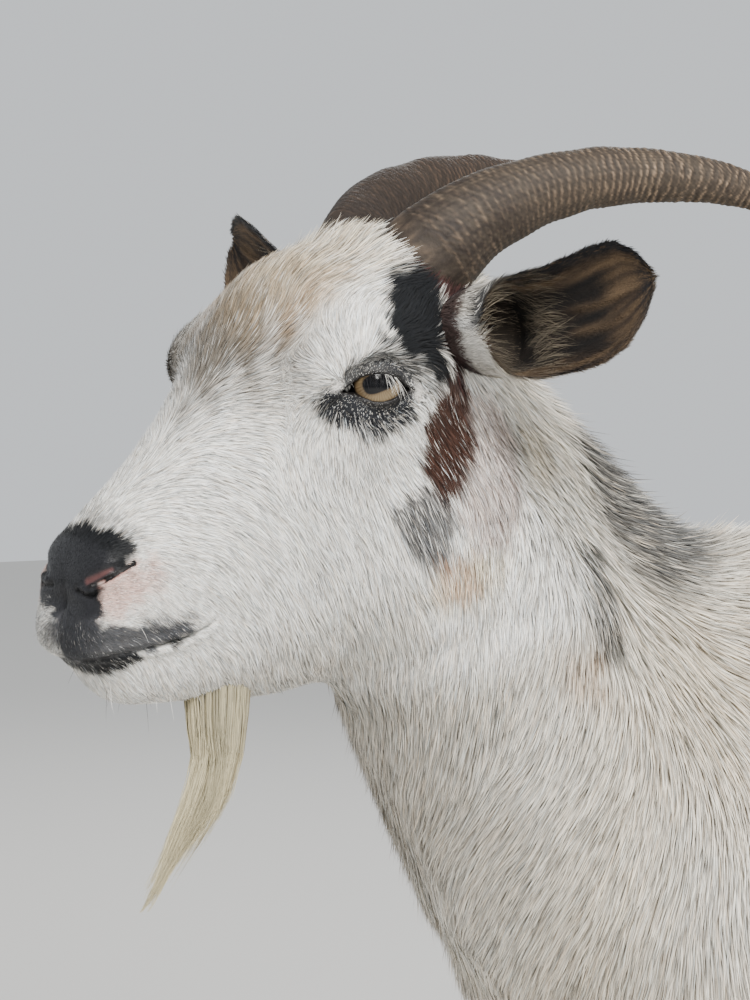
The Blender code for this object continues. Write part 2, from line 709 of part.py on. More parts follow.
def claw(name, foot, sign):
    """One claw of a foot: flat sole, bluff toe, straight inner wall and a sloping top."""
    rings = []
    for level, length, width, forward in (
        (0.0, 1.00, 0.97, 0.0),
        (0.06, 1.02, 1.0, 0.0),
        (0.5, 0.95, 1.03, 0.06),
        (1.0, 0.86, 1.0, 0.12),
    ):
        ring = []
        for k in range(14):
            angle = 2 * math.pi * k / 14
            side = CLAW_HALF_WIDTH * width * signed_power(math.cos(angle), 0.8)
            y = CLAW_LENGTH / 2 * length * signed_power(math.sin(angle), 0.9)
            toe = max(0.0, -y / (CLAW_LENGTH / 2))
            side = side * (1 - 0.42 * toe**2) - 0.20 * CLAW_HALF_WIDTH * toe**2
            y += CLAW_LENGTH * forward - 0.006
            height = (coronet_height(y) - GAP) * level
            x = foot.x + sign * (CLAW_SPLIT + CLAW_HALF_WIDTH * 1.05 + side)
            ring.append(Vector((x, foot.y + y, height)))
        rings.append(ring)
    return loft(name, rings)


def dewclaw(name, foot, sign, leg):
    """A small blunt claw behind the fetlock."""
    centre = Vector((foot.x + sign * 0.0100, foot.y + 0.038, DEWCLAW_HEIGHT))
    made = ball(name, centre, DEWCLAW_RADIUS, 7, 4)
    points = points_of(made.data)
    droop = np.clip((np.array(centre)[2] - points[:, 2]) / DEWCLAW_RADIUS, 0, 1)
    points[:, 2] -= 0.004 * droop
    set_points(made.data, points)
    cut_clear_of(made, leg)
    return made


def trim_leg(name, leg):
    """Ends the leg at its coronet, just above the claws."""
    foot = foot_centre(name)
    reach = 0.12
    corners = []
    for y in (-reach, reach):
        for x in (-reach, reach):
            corners.append(Vector((foot.x + x, foot.y + y, coronet_height(y))))
    corners += [c - Vector((0, 0, 0.2)) for c in corners]
    faces = [(0, 1, 3, 2), (4, 6, 7, 5), (0, 4, 5, 1), (2, 3, 7, 6), (0, 2, 6, 4), (1, 5, 7, 3)]
    below = mesh_object(name + "_below", corners, faces)
    boolean(leg, below, "DIFFERENCE")
    bpy.data.objects.remove(below)
    keep_largest(leg)
    return foot


# ---------------------------------------------------------------- the goat
def centre_on_floor(objects):
    """Puts the middle of the goat's box over the origin, and its soles on the floor."""
    clouds = [points_of(o.data) for o in objects]
    low = np.min([c.min(0) for c in clouds], axis=0)
    high = np.max([c.max(0) for c in clouds], axis=0)
    shift = -np.array([(low[0] + high[0]) / 2, (low[1] + high[1]) / 2, low[2]])
    for obj, cloud in zip(objects, clouds):
        set_points(obj.data, cloud + shift)


def main():
    clear_scene()
    nodes = part_flesh(flesh_form())
    head = nodes["head"]
    nodes.update(eyes(head))
    for side, sign in (("left", 1), ("right", -1)):
        nodes["horn_" + side] = horn(side, sign, head)
        nodes["ear_" + side] = ear(side, sign, head)
    nodes["beard"] = beard(head)
    for leg_name in STANCE:
        foot = trim_leg(leg_name, nodes[leg_name])
        place = leg_name[len("leg_"):]
        for claw_side, sign in (("left", 1), ("right", -1)):
            nodes[f"claw_{place}_{claw_side}"] = claw(f"claw_{place}_{claw_side}", foot, sign)
            name = f"dewclaw_{place}_{claw_side}"
            nodes[name] = dewclaw(name, foot, sign, nodes[leg_name])

    finishes = {
        "hair": material("hair", HAIR_WHITE, 0.8),
        "horn": material("horn", HORN_BROWN, 0.55),
        "hoof": material("hoof", HOOF_GREY, 0.5),
        "eye": material("eye", EYE_AMBER, 0.1),
    }
    for name, obj in nodes.items():
        kind = name.split("_")[0]
        finish = {"horn": "horn", "claw": "hoof", "dewclaw": "hoof", "eye": "eye"}.get(kind, "hair")
        obj.data.materials.clear()
        obj.data.materials.append(finishes[finish])
        obj.data.shade_smooth()
    centre_on_floor(list(nodes.values()))


main()
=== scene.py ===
"""The goat's looks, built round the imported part: one skin with lids, lips and nostrils, a coat of thin
tufts that follow the lie of the hair, eyes, ringed horns, hooves and a beard.

Metres, in the part's own frame: +Z up, the goat faces -Y and its left side is +X. Places on the head are
given in millimetres as (side, forward, up), for the goat's left side, and are mirrored for its right.
"""

import math
from collections import namedtuple

import bmesh
import bpy
import numpy as np
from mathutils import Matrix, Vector
from mathutils.bvhtree import BVHTree


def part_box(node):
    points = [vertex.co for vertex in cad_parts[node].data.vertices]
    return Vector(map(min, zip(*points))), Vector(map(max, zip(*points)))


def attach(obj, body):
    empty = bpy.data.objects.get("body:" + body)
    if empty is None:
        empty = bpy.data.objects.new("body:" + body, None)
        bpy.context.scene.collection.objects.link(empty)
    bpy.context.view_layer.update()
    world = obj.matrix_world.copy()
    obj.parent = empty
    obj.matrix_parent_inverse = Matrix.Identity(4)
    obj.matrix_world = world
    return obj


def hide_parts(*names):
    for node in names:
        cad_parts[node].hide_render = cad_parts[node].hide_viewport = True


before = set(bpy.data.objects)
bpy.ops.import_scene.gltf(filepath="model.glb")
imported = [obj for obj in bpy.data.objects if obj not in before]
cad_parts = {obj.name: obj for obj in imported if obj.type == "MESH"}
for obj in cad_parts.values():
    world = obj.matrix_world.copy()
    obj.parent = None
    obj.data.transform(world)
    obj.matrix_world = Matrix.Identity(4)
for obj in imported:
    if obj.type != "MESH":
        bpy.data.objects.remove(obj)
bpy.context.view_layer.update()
RANDOM = np.random.default_rng(41)
MM = 0.001

# ---------------------------------------------------------------- driving sizes
HEAD_PITCH = math.radians(24.8)  # nose below the poll, as in the part
EYE_AHEAD, EYE_ABOVE = -0.0035, 0.0018  # the eyes from the head frame's own middle
FORM_VOXEL = 0.0045
HOOF_VOXEL = 0.0018
FLESH_SWELL = 0.0005  # closes the thin cuts between the part's pieces of flesh
# How many tufts lie over one another on the head, neck, trunk, forelegs and hind legs, and in how many steps
# each tuft bends.
COAT_LAYERS = (5.4, 6.2, 5.0, 4.4, 4.4)
COAT_STEPS = (2, 3, 2, 2, 2)
# How wide the tufts of each are, against the widths that the guides of the lie give.
COAT_WIDTHS = (0.88, 0.90, 1.0, 1.0, 1.0)
COAT_PIECE_TRIANGLES = 185000
# How unlike one another the tufts' shades are, and the share of them that are darker, and by how much.
HAIR_SPREAD = 0.26
DARK_HAIRS, DARK_HAIR_SHADE = 0.17, 0.58
OFBAKE_PATCH = 0.003

FLESH = ["head", "neck", "trunk", "tail"]
LEGS = ["leg_front_left", "leg_front_right", "leg_hind_left", "leg_hind_right"]
EARS = ["ear_left", "ear_right"]
EYES = ["eye_left", "eye_right"]
SIDES = (("left", 1), ("right", -1))


# ---------------------------------------------------------------- helpers
def unit(vectors):
    vectors = np.asarray(vectors, float)
    size = np.linalg.norm(vectors, axis=-1, keepdims=True)
    return vectors / np.maximum(size, 1e-12)


def ease(low, high, values):
    """0 below low, 1 above high, and a smooth step between."""
    t = np.clip((np.asarray(values, float) - low) / (high - low), 0, 1)
    return t * t * (3 - 2 * t)


def dome(distance, reach):
    """A soft bump: 1 in the middle, near 0 past its reach."""
    return np.exp(-((distance / reach) ** 2))


def linear(red, green, blue):
    """A colour as seen on a screen, 0 to 255, in the renderer's own scale."""
    seen = np.array((red, green, blue), float) / 255
    return np.where(seen <= 0.04045, seen / 12.92, ((seen + 0.055) / 1.055) ** 2.4)


def blend(colours, other, share):
    """Colours moved towards another by a share of the way, one share for each."""
    return colours + np.asarray(share)[..., None] * (other - colours)


def wobble(points, size, seed):
    """A smooth uneven field between about -1 and 1, with waves of about that size."""
    made = np.random.default_rng(seed)
    total = np.zeros(len(points))
    for _ in range(6):
        direction = unit(made.normal(size=3)) * (2 * math.pi / size) * made.uniform(0.6, 1.6)
        total += np.sin(points @ direction + made.uniform(0, 2 * math.pi))
    return total / 3.0


def layered(points, layers):
    """Several uneven fields added up, each a height, the size of its waves and a seed."""
    return sum(height * wobble(points, size, seed) for height, size, seed in layers)


def to_path(points, path):
    """Distance to the nearest stretch of a path, and how far along it that is, 0 to 1."""
    path = np.asarray(path, float)
    nearest = np.full(len(points), np.inf)
    along = np.zeros(len(points))
    for k in range(len(path) - 1):
        run = path[k + 1] - path[k]
        t = np.clip((points - path[k]) @ run / (run @ run), 0, 1)
        gap = np.linalg.norm(points - (path[k] + t[:, None] * run), axis=1)
        closer = gap < nearest
        nearest[closer] = gap[closer]
        along[closer] = (k + t[closer]) / (len(path) - 1)
    return nearest, along


def folded(place):
    """The same places with the right side laid over the left."""
    return np.column_stack((np.abs(place[:, 0]), place[:, 1], place[:, 2]))


def body_mm(points):
    """Places of the body in mm, the right side laid over the left."""
    return folded(points) / MM


def box_middle(node):
    low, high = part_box(node)
    return np.array((low + high) / 2)


class HeadFrame:
    """The head's own axes: to its left, forward along the face, and up square to it."""

    def __init__(self):
        left_eye, right_eye = box_middle("eye_left"), box_middle("eye_right")
        left = unit(left_eye - right_eye)
        forward = np.array((0, -math.cos(HEAD_PITCH), -math.sin(HEAD_PITCH)))
        forward = unit(forward - left * (forward @ left))
        up = np.cross(forward, left)
        self.axes = np.array((left, forward, up))
        self.middle = (left_eye + right_eye) / 2 - forward * EYE_AHEAD - up * EYE_ABOVE

    def place(self, points):
        """Millimetres in the head's axes."""
        return (np.asarray(points, float) - self.middle) @ self.axes.T / MM

    def world(self, place):
        return self.middle + np.asarray(place, float) * MM @ self.axes

    def turn(self, direction):
        return np.asarray(direction, float) @ self.axes


HEAD = HeadFrame()


def get_points(mesh):
    points = np.empty(len(mesh.vertices) * 3)
    mesh.vertices.foreach_get("co", points)
    return points.reshape(-1, 3)


def set_points(mesh, points):
    mesh.vertices.foreach_set("co", np.asarray(points, float).ravel())
    mesh.update()


def get_normals(mesh):
    normals = np.empty(len(mesh.vertices) * 3, np.float32)
    mesh.vertex_normals.foreach_get("vector", normals)
    return normals.reshape(-1, 3).astype(float)


def mesh_arrays(mesh):
    """The mesh's points and its triangles."""
    mesh.calc_loop_triangles()
    corners = np.empty(len(mesh.loop_triangles) * 3, np.int32)
    mesh.loop_triangles.foreach_get("vertices", corners)
    return get_points(mesh), corners.reshape(-1, 3)


def new_object(name, mesh):
    made = bpy.data.objects.new(name, mesh)
    bpy.context.scene.collection.objects.link(made)
    return made


def mesh_from(name, points, faces):
    """A mesh from an array of points and an array of faces that all have the same number of corners."""
    faces = np.asarray(faces, np.int32)
    corners = faces.shape[1]
    mesh = bpy.data.meshes.new(name)
    mesh.vertices.add(len(points))
    mesh.vertices.foreach_set("co", np.asarray(points, np.float32).ravel())
    mesh.loops.add(faces.size)
    mesh.loops.foreach_set("vertex_index", faces.ravel())
    mesh.polygons.add(len(faces))
    mesh.polygons.foreach_set("loop_start", np.arange(0, faces.size, corners, dtype=np.int32))
    mesh.update()
    mesh.validate()
    return mesh


def smooth_shaded(mesh):
    mesh.polygons.foreach_set("use_smooth", np.ones(len(mesh.polygons), bool))
    mesh.update()


def tint(mesh, colours, name="tint"):
    """A colour for each point, read by the material."""
    layer = mesh.attributes.new(name, "FLOAT_COLOR", "POINT")
    values = np.ones((len(mesh.vertices), 4), np.float32)
    values[:, :3] = colours
    layer.data.foreach_set("color", values.ravel())


def number(mesh, name, values):
    layer = mesh.attributes.new(name, "FLOAT", "POINT")
    layer.data.foreach_set("value", np.asarray(values, np.float32))


class Web:
    """Which points of a mesh are joined, for softening it."""

    def __init__(self, mesh):
        ends = np.empty(len(mesh.edges) * 2, np.int32)
        mesh.edges.foreach_get("vertices", ends)
        self.first, self.second = ends.reshape(-1, 2).T
        self.count = len(mesh.vertices)
        self.degree = np.maximum(np.bincount(ends, minlength=self.count), 1)

    def mean(self, values):
        total = np.empty_like(values)
        for k in range(values.shape[1]):
            total[:, k] = np.bincount(self.first, values[self.second, k], self.count)
            total[:, k] += np.bincount(self.second, values[self.first, k], self.count)
        return total / self.degree[:, None]

    def soften(self, values, rounds, weight=0.5):
        weight = np.broadcast_to(weight, (self.count,))[:, None]
        for _ in range(rounds):
            values = values + weight * (self.mean(values) - values)
        return values


def grid_faces(rows, columns, closed=False):
    """Quads of a grid of points, row after row; closed joins the last column to the first."""
    spans = columns if closed else columns - 1
    row, column = np.meshgrid(np.arange(rows - 1), np.arange(spans), indexing="ij")
    beside = (column + 1) % columns
    low, high = row * columns, (row + 1) * columns
    return np.stack((low + column, low + beside, high + beside, high + column), axis=-1).reshape(-1, 4)


def quads_to_triangles(quads):
    return np.concatenate((quads[:, (0, 1, 2)], quads[:, (0, 2, 3)]))


# ---------------------------------------------------------------- materials
def node_tree(name):
    material = bpy.data.materials.new(name)
    material.use_nodes = True
    shader = material.node_tree.nodes["Principled BSDF"]
    return material, material.node_tree, shader


def set_inputs(node, values):
    for name, value in values.items():
        node.inputs[name].default_value = value


def noise(tree, scale, detail=3.0, roughness=0.5):
    place = tree.nodes.new("ShaderNodeTexCoord")
    made = tree.nodes.new("ShaderNodeTexNoise")
    set_inputs(made, {"Scale": scale, "Detail": detail, "Roughness": roughness})
    tree.links.new(place.outputs["Object"], made.inputs["Vector"])
    return made


def attribute(tree, name):
    """A node that reads one of the mesh's own values."""
    made = tree.nodes.new("ShaderNodeAttribute")
    made.attribute_name = name
    return made


def mapped(tree, value, low, high):
    """A value from 0 to 1 spread from low to high."""
    made = tree.nodes.new("ShaderNodeMapRange")
    set_inputs(made, {"To Min": low, "To Max": high})
    tree.links.new(value, made.inputs["Value"])
    return made.outputs["Result"]


def add_bump(tree, shader, height, distance, strength=1.0):
    bump = tree.nodes.new("ShaderNodeBump")
    set_inputs(bump, {"Distance": distance, "Strength": strength})
    tree.links.new(height, bump.inputs["Height"])
    tree.links.new(bump.outputs["Normal"], shader.inputs["Normal"])


def tinted(name, roughness, specular, uneven=0.0, uneven_scale=60.0, sheen=0.0):
    """A material that takes its colour from the piece's tint, a little uneven."""
    material, tree, shader = node_tree(name)
    source = attribute(tree, "tint").outputs["Color"]
    if uneven:
        spread = mapped(tree, noise(tree, uneven_scale).outputs["Fac"], 1 - uneven, 1 + uneven)
        mix = tree.nodes.new("ShaderNodeVectorMath")
        mix.operation = "SCALE"
        tree.links.new(source, mix.inputs[0])
        tree.links.new(spread, mix.inputs["Scale"])
        source = mix.outputs["Vector"]
    tree.links.new(source, shader.inputs["Base Color"])
    set_inputs(shader, {"Roughness": roughness, "Specular IOR Level": specular, "Sheen Weight": sheen})
    return material, tree, shader


def skin_material():
    material, tree, shader = tinted("goat_skin", 0.6, 0.3, uneven=0.12, uneven_scale=140.0)
    dull, wet = 0.75, 0.33
    gloss = mapped(tree, attribute(tree, "leather").outputs["Fac"], dull, wet)
    tree.links.new(gloss, shader.inputs["Roughness"])
    grain = noise(tree, 900.0, 4.0, 0.6)
    add_bump(tree, shader, grain.outputs["Fac"], 0.0007, 0.5)
    return material


def horn_material():
    material, tree, shader = tinted("goat_horn", 0.62, 0.22, uneven=0.42, uneven_scale=520.0)
    grain = noise(tree, 700.0, 5.0, 0.6)
    add_bump(tree, shader, grain.outputs["Fac"], 0.0006, 0.45)
    return material


def hoof_material():
    material, tree, shader = tinted("goat_hoof", 0.5, 0.4, uneven=0.25, uneven_scale=260.0)
    place = tree.nodes.new("ShaderNodeTexCoord")
    growth = tree.nodes.new("ShaderNodeTexWave")
    growth.bands_direction = "Z"
    set_inputs(growth, {"Scale": 110.0, "Distortion": 2.5, "Detail": 2.0})
    tree.links.new(place.outputs["Object"], growth.inputs["Vector"])
    add_bump(tree, shader, growth.outputs["Fac"], 0.0005, 0.6)
    return material


HAIR = tinted("goat_hair", 0.55, 0.22, sheen=0.08)[0]
SKIN = skin_material()
HORN = horn_material()
HOOF = hoof_material()
EYE = tinted("goat_eye", 0.12, 0.28)[0]
LASH = tinted("goat_lash", 0.4, 0.4)[0]

# ---------------------------------------------------------------- markings
WHITE = linear(238, 235, 228)
CREAM = linear(212, 196, 168)
YELLOWED = linear(205, 184, 138)
TAN = linear(178, 140, 102)
RUST = linear(64, 40, 30)
ROAN = linear(172, 146, 136)
# Fawn, darkened further as painted shade on the forehead and the brows.
FAWN_AND_SHADE = linear(98, 88, 74)
DUN = linear(160, 138, 108)
RED_BROWN = linear(58, 32, 29)
BLACK = linear(14, 16, 19)
SLATE = linear(60, 61, 65)
PINK = linear(208, 160, 145)
BODY_WHITE = linear(220, 214, 202)
PALE_SKIN = linear(205, 172, 156)
# Painted shade, laid under the jaw and down the front of the neck.
SHADED = linear(188, 182, 170)

# Patch: its middle and reach in mm, on the head in the head's axes or on the body from the part's own origin,
# its colour, how soft its edge is, the share of white hairs in it, and how strong it is.
Patch = namedtuple("Patch", "middle reach colour soft grizzle strength")
# Outline: a marking's outline seen square from the goat's side, as (forward, up) on the head or (back, up)
# on the body, in mm, how near to the middle of the goat it reaches, its colour, edge, white hairs and
# strength, and how much of it the right side has.
Outline = namedtuple("Outline", "points inmost colour soft grizzle strength right", defaults=(1.0,))

HEAD_PATCHES = (
    Patch((0, -22, 56), (46, 52, 24), CREAM, 0.6, 0.1, 0.9),
    # fawn forehead, its front darkened as painted shade
    Patch((4, 31, 37), (38, 40, 22), FAWN_AND_SHADE, 0.6, 0.12, 0.9),
    Patch((30, 6, 44), (8, 26, 12), TAN, 0.8, 0.25, 0.35),
    Patch((10, 4, 48), (30, 24, 18), DUN, 0.7, 0.3, 0.5),
    Patch((34, 34, 18), (9, 14, 14), FAWN_AND_SHADE, 0.8, 0.2, 0.3),
    Patch((54, -4, 34), (14, 22, 9), WHITE, 0.5, 0.0, 0.9),
    Patch((62, -10, -92), (24, 16, 9), YELLOWED, 0.7, 0.2, 0.6),
    Patch((28, 123, -29), (11, 16, 9), PINK, 0.5, 0.15, 0.7),
    # painted shade under the jaw
    Patch((20, 60, -112), (50, 78, 28), SHADED, 0.7, 0.1, 0.7),
)
# The same on the head's own left and right, where the two sides differ.
FRONT_PATCHES = (
    Patch((6, 137, -30), (15.5, 8, 12), BLACK, 0.12, 0.0, 1.0),
    Patch((3, 134, -24), (19.5, 7, 7), BLACK, 0.12, 0.0, 1.0),
    Patch((-10, 131, -23), (15, 9, 8), BLACK, 0.12, 0.0, 1.0),
    Patch((8, 140, -42), (17, 12, 12), SLATE, 0.35, 0.03, 0.9),
    # painted shade on the far brow, with some fawn
    Patch((-46, 26, 22), (18, 24, 20), FAWN_AND_SHADE, 0.6, 0.2, 0.6),
)
RED_STRIP = Outline(
    ((-56, 33), (-66, 36), (-78, 31), (-80, 22), (-68, 17), (-61, 14), (-57, 3.6), (-50, -2), (-45, -13),
     (-45, -24), (-36, -20), (-38, -10), (-42, -2), (-48, 9), (-55, 18)),
    30, RED_BROWN, 2.5, 0.0, 1.0)
HEAD_OUTLINES = (
    # grizzled edge of the black patch
    Outline(
        ((-8, 26), (-2, 16), (-10, 5), (-19, -6), (-26, -16), (-34, -16), (-29, -4), (-20, 8), (-12, 18)),
        30, BLACK, 6.0, 0.45, 0.85),
    # black patch behind the brow
    Outline(
        ((-60, 31), (-49, 34.5), (-39, 35.6), (-29, 33), (-17, 27), (-9, 21), (-13, 12), (-22, 4),
         (-29, -8), (-34, -14), (-38, -10), (-40, 2), (-47, 10), (-55, 18), (-62, 24)),
        30, BLACK, 4.0, 0.0, 1.0),
    # roan behind the cheek
    Outline(
        ((-36, -22), (-48, -24), (-60, -32), (-64, -52), (-52, -74), (-32, -88), (-16, -80), (-14, -66),
         (-24, -50), (-34, -40)),
        30, ROAN, 8.0, 0.2, 0.6),
    # red-brown strip in front of the ear
    RED_STRIP,
    # rust
    Outline(
        ((-27, -11), (-36, -14), (-43, -24), (-43, -37), (-33, -49), (-22, -58), (-10, -58), (-8, -48),
         (-12, -34), (-17, -21)),
        30, RUST, 4.0, 0.1, 1.0),
    # grey under the rust
    Outline(
        ((-8, -46), (-12, -56), (-13, -66), (-8, -78), (0, -84), (7, -76), (9, -62), (7, -51), (0, -50)),
        30, linear(70, 69, 70), 6.0, 0.26, 0.9),
    # tan on the jaw
    Outline(
        ((0, -80), (-13, -82), (-14, -95), (-5, -100), (2, -94)), 30, linear(182, 142, 112), 7.0, 0.3, 0.6),
    # grizzle under the eye
    Outline(
        ((29, 8), (22, 13), (14, 8), (3, 0), (-7, 0), (-16, -4), (-12, -18), (-3, -19), (8, -18), (16, -12),
         (25, -4)),
        30, linear(30, 32, 37), 3.0, 0.36, 1.0),
    # dark over the eye
    Outline(
        ((16, 17), (10, 21), (0, 19), (-11, 13), (-18, 4), (-14, -4), (-8, 3), (0, 7), (8, 9), (15, 8)),
        30, linear(32, 34, 38), 3.0, 0.34, 0.95, 0.5),
    # black nose
    Outline(
        ((120, -4), (114, -5), (110.5, -8), (109, -13), (110, -18), (113.5, -20.6), (118, -21.6),
         (125.5, -22.3), (129.5, -23.2), (131.5, -26), (132.5, -29), (134.5, -34), (160, -36), (160, 4)),
        0, BLACK, 3.0, 0.0, 1.0),
    # grizzled top of the nose
    Outline(
        ((126, 4), (112, 2), (105, -3), (103, -11), (105, -18), (110, -19), (111, -9), (116, -5), (126, -3)),
        0, BLACK, 4.0, 0.4, 0.5),
    # dark upper lip
    Outline(
        ((133, -24), (134, -28), (136.4, -34), (137, -39.6), (134, -39.4), (128, -41.3), (124, -45),
         (118, -47), (110, -50), (103, -54), (103, -58), (116, -57), (127, -55.5), (138, -53), (160, -53),
         (160, -24)),
        0, SLATE, 2.5, 0.03, 0.95, 0.35),
    # grizzled corner of the lips
    Outline(
        ((122, -43), (112, -46), (101, -51), (96, -56), (103, -58), (116, -56)),
        0, SLATE, 4.0, 0.45, 0.8, 0.35),
    # black lower lip
    Outline(
        ((160, -51), (138, -51), (127, -54), (126, -58), (133, -61.5), (160, -62)),
        0, BLACK, 2.0, 0.12, 1.0),
    # dark corner of the mouth
    Outline(
        ((116, -55.5), (106, -56.5), (104, -60), (112, -61)), 0, BLACK, 2.0, 0.15, 0.95),
)
BODY_PATCHES = (
    Patch((90, 60, 470), (60, 60, 45), CREAM, 0.9, 0.2, 0.5),
    Patch((100, 230, 420), (60, 70, 60), CREAM, 0.9, 0.2, 0.45),
    # painted shade down the front of the neck
    Patch((20, -275, 470), (60, 50, 90), SHADED, 0.7, 0.1, 0.6),
    Patch((40, 330, 560), (60, 60, 30), CREAM, 0.9, 0.2, 0.6),
    Patch((0, 60, 572), (40, 120, 22), CREAM, 0.9, 0.2, 0.5),
    Patch((80, -120, 500), (40, 45, 50), CREAM, 0.9, 0.2, 0.6),
)
BODY_OUTLINES = (
    # grey of the crest
    Outline(
        ((-186, 612), (-150, 616), (-104, 596), (-70, 566), (-112, 545), (-150, 536), (-170, 548),
         (-190, 575)),
        0, linear(66, 66, 66), 20.0, 0.2, 0.9, 0.4),
    # dark streak on the neck
    Outline(
        ((-211, 562), (-196, 562), (-190, 535), (-197, 510), (-211, 514)), 30, BLACK, 5.0, 0.35, 0.8),
    # tan on the neck
    Outline(
        ((-228, 520), (-208, 516), (-206, 496), (-226, 498)), 30, TAN, 9.0, 0.35, 0.4),
    # yellowed band of the neck
    Outline(
        ((-236, 615), (-216, 612), (-226, 560), (-232, 520), (-246, 520), (-240, 570)),
        20, CREAM, 9.0, 0.15, 0.6),
)
MOUTH = ((0, 144.5, -50), (8, 144.5, -49.6), (16, 143, -49.4), (22, 140.3, -49.8), (25.6, 134.3, -51.2),
         (27.5, 126.7, -53.6), (27.8, 117, -56.2), (27.9, 110.5, -57.7), (28.2, 103, -58.7), (28.8, 96, -59),
         (29.4, 90, -57.5))
# The slit of the nostril under its wing, from the middle of the nose back, the pink lining that shows over
# it, and the small slit under it.
NOSTRIL = ((16.4, 131.8, -23.8), (18.8, 130.4, -23.3), (21.5, 128.2, -22.8), (22.9, 125.1, -22.5),
           (23.5, 121.8, -22.4), (24.1, 118.7, -22.1), (24.9, 115.6, -21.5))
LINING = ((14.7, 130.9, -22.4), (17.2, 129.4, -21.6), (19.5, 127.6, -20.9), (21.1, 125.6, -20.4),
          (22.3, 123.3, -20.2))
LOWER_SLIT = ((8.9, 133.4, -26.2), (14.2, 133.6, -27.3), (18.4, 133.3, -27.1), (20.9, 131.9, -25.6))
TEAR_LINE = ((51, 17, 7), (48.6, 19, 5.0), (47.2, 20.6, 3.8), (45.2, 24.6, 1.4))
WHITE_HAIR_SHARE = 0.4  # how much of a marking's colour its white hairs still take


def marked(colours, place, patches, chance, far):
    """Colours with the patches laid over them. On the far side they are a little smaller."""
    uneven = 0.22 * wobble(place, 14.0, 5) + 0.12 * wobble(place, 5.0, 6)
    for patch in patches:
        reach = np.array(patch.reach, float)
        off = np.linalg.norm((place - np.array(patch.middle)) / reach, axis=1)
        off = off * np.where(far, 1.12, 1.0) + uneven
        share = patch.strength * (1 - ease(1 - patch.soft, 1 + patch.soft, off))
        share = np.where(chance < patch.grizzle, WHITE_HAIR_SHARE * share, share)
        colours = blend(colours, patch.colour, share)
    return colours


def inside_by(places, outline):
    """How far places of a plane lie inside a closed outline, below 0 outside it."""
    outline = np.asarray(outline, float)
    nearest = np.full(len(places), np.inf)
    inside = np.zeros(len(places), bool)
    for start, end in zip(outline, np.roll(outline, -1, axis=0)):
        run = end - start
        t = np.clip((places - start) @ run / (run @ run), 0, 1)
        nearest = np.minimum(nearest, np.linalg.norm(places - (start + t[:, None] * run), axis=1))
        spans = (start[1] > places[:, 1]) != (end[1] > places[:, 1])
        rise = end[1] - start[1] if end[1] != start[1] else 1e-9
        inside ^= spans & (places[:, 0] < start[0] + (places[:, 1] - start[1]) / rise * run[0])
    return np.where(inside, nearest, -nearest)


def outlined(colours, place, outlines, chance, far):
    """Colours with the outlined markings laid over them, their edges uneven."""
    uneven = wobble(place, 9.0, 15) + 0.6 * wobble(place, 3.5, 16)
    for mark in outlines:
        depth = inside_by(place[:, 1:], mark.points) - np.where(far, 1.5, 0.0)
        depth = depth + uneven * min(mark.soft, 4.0) * 0.45
        share = mark.strength * ease(-mark.soft * 0.6, mark.soft * 0.6, depth)
        if mark.inmost:
            share = share * ease(mark.inmost - 6, mark.inmost + 1, place[:, 0])
        share = np.where(chance < mark.grizzle, WHITE_HAIR_SHARE * share, share)
        # The skin, whose chance is 1, takes that share of the colour where the hairs take it in turns.
        left_out = np.where(chance < 1, 0, mark.right * share)
        share = np.where(far & (chance > mark.right), left_out, share)
        colours = blend(colours, mark.colour, share)
    return colours


def markings(points, chance):
    """The coat's colour at these points. chance, 0 to 1 for each, lets single white hairs through."""
    place = HEAD.place(points)
    fold = folded(place)
    far = place[:, 0] < 0
    body, right = body_mm(points), points[:, 0] < 0
    on_head = ease(-75, -50, place[:, 1]) * ease(-150, -120, place[:, 2])
    soft = 0.5 + 0.5 * wobble(points, 0.09, 3)
    colours = blend(BODY_WHITE, CREAM, 0.35 * soft)
    colours = marked(colours, body, BODY_PATCHES, chance, right)
    colours = outlined(colours, body, BODY_OUTLINES, chance, right)
    colours = blend(colours, WHITE, on_head)
    colours = marked(colours, fold, HEAD_PATCHES, chance, far)
    colours = marked(colours, place, FRONT_PATCHES, chance, np.zeros_like(far))
    colours = outlined(colours, fold, HEAD_OUTLINES, chance, far)
    # The fold from the eye's front corner is painted black, as painted shade in its crease.
    return blend(colours, BLACK, 0.9 * dome(to_path(fold, TEAR_LINE)[0], 1.7))


# ---------------------------------------------------------------- the skin
def voxelled(mesh, voxel):
    """The mesh run together into one closed form of even small faces."""
    holder = new_object("form", mesh)
    remesh = holder.modifiers.new("remesh", "REMESH")
    remesh.mode = "VOXEL"
    remesh.voxel_size = voxel
    depsgraph = bpy.context.evaluated_depsgraph_get()
    fused = bpy.data.meshes.new_from_object(holder.evaluated_get(depsgraph))
    bpy.data.objects.remove(holder)
    return fused


def flesh_mesh():
    """The part's flesh, and the eyeballs to fill its sockets, run together into one closed form."""
    form = bmesh.new()
    for node in FLESH + LEGS + EYES:
        piece = bmesh.new()
        piece.from_mesh(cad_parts[node].data)
        bmesh.ops.remove_doubles(piece, verts=piece.verts, dist=1e-6)
        bmesh.ops.recalc_face_normals(piece, faces=piece.faces)
        piece.normal_update()
        swell = FLESH_SWELL if node not in EYES else 0.0
        for point in piece.verts:
            point.co += point.normal * swell
        own = bpy.data.meshes.new("piece")
        piece.to_mesh(own)
        piece.free()
        form.from_mesh(own)
        bpy.data.meshes.remove(own)
    mesh = bpy.data.meshes.new("form")
    form.to_mesh(mesh)
    form.free()
    return voxelled(mesh, FORM_VOXEL)


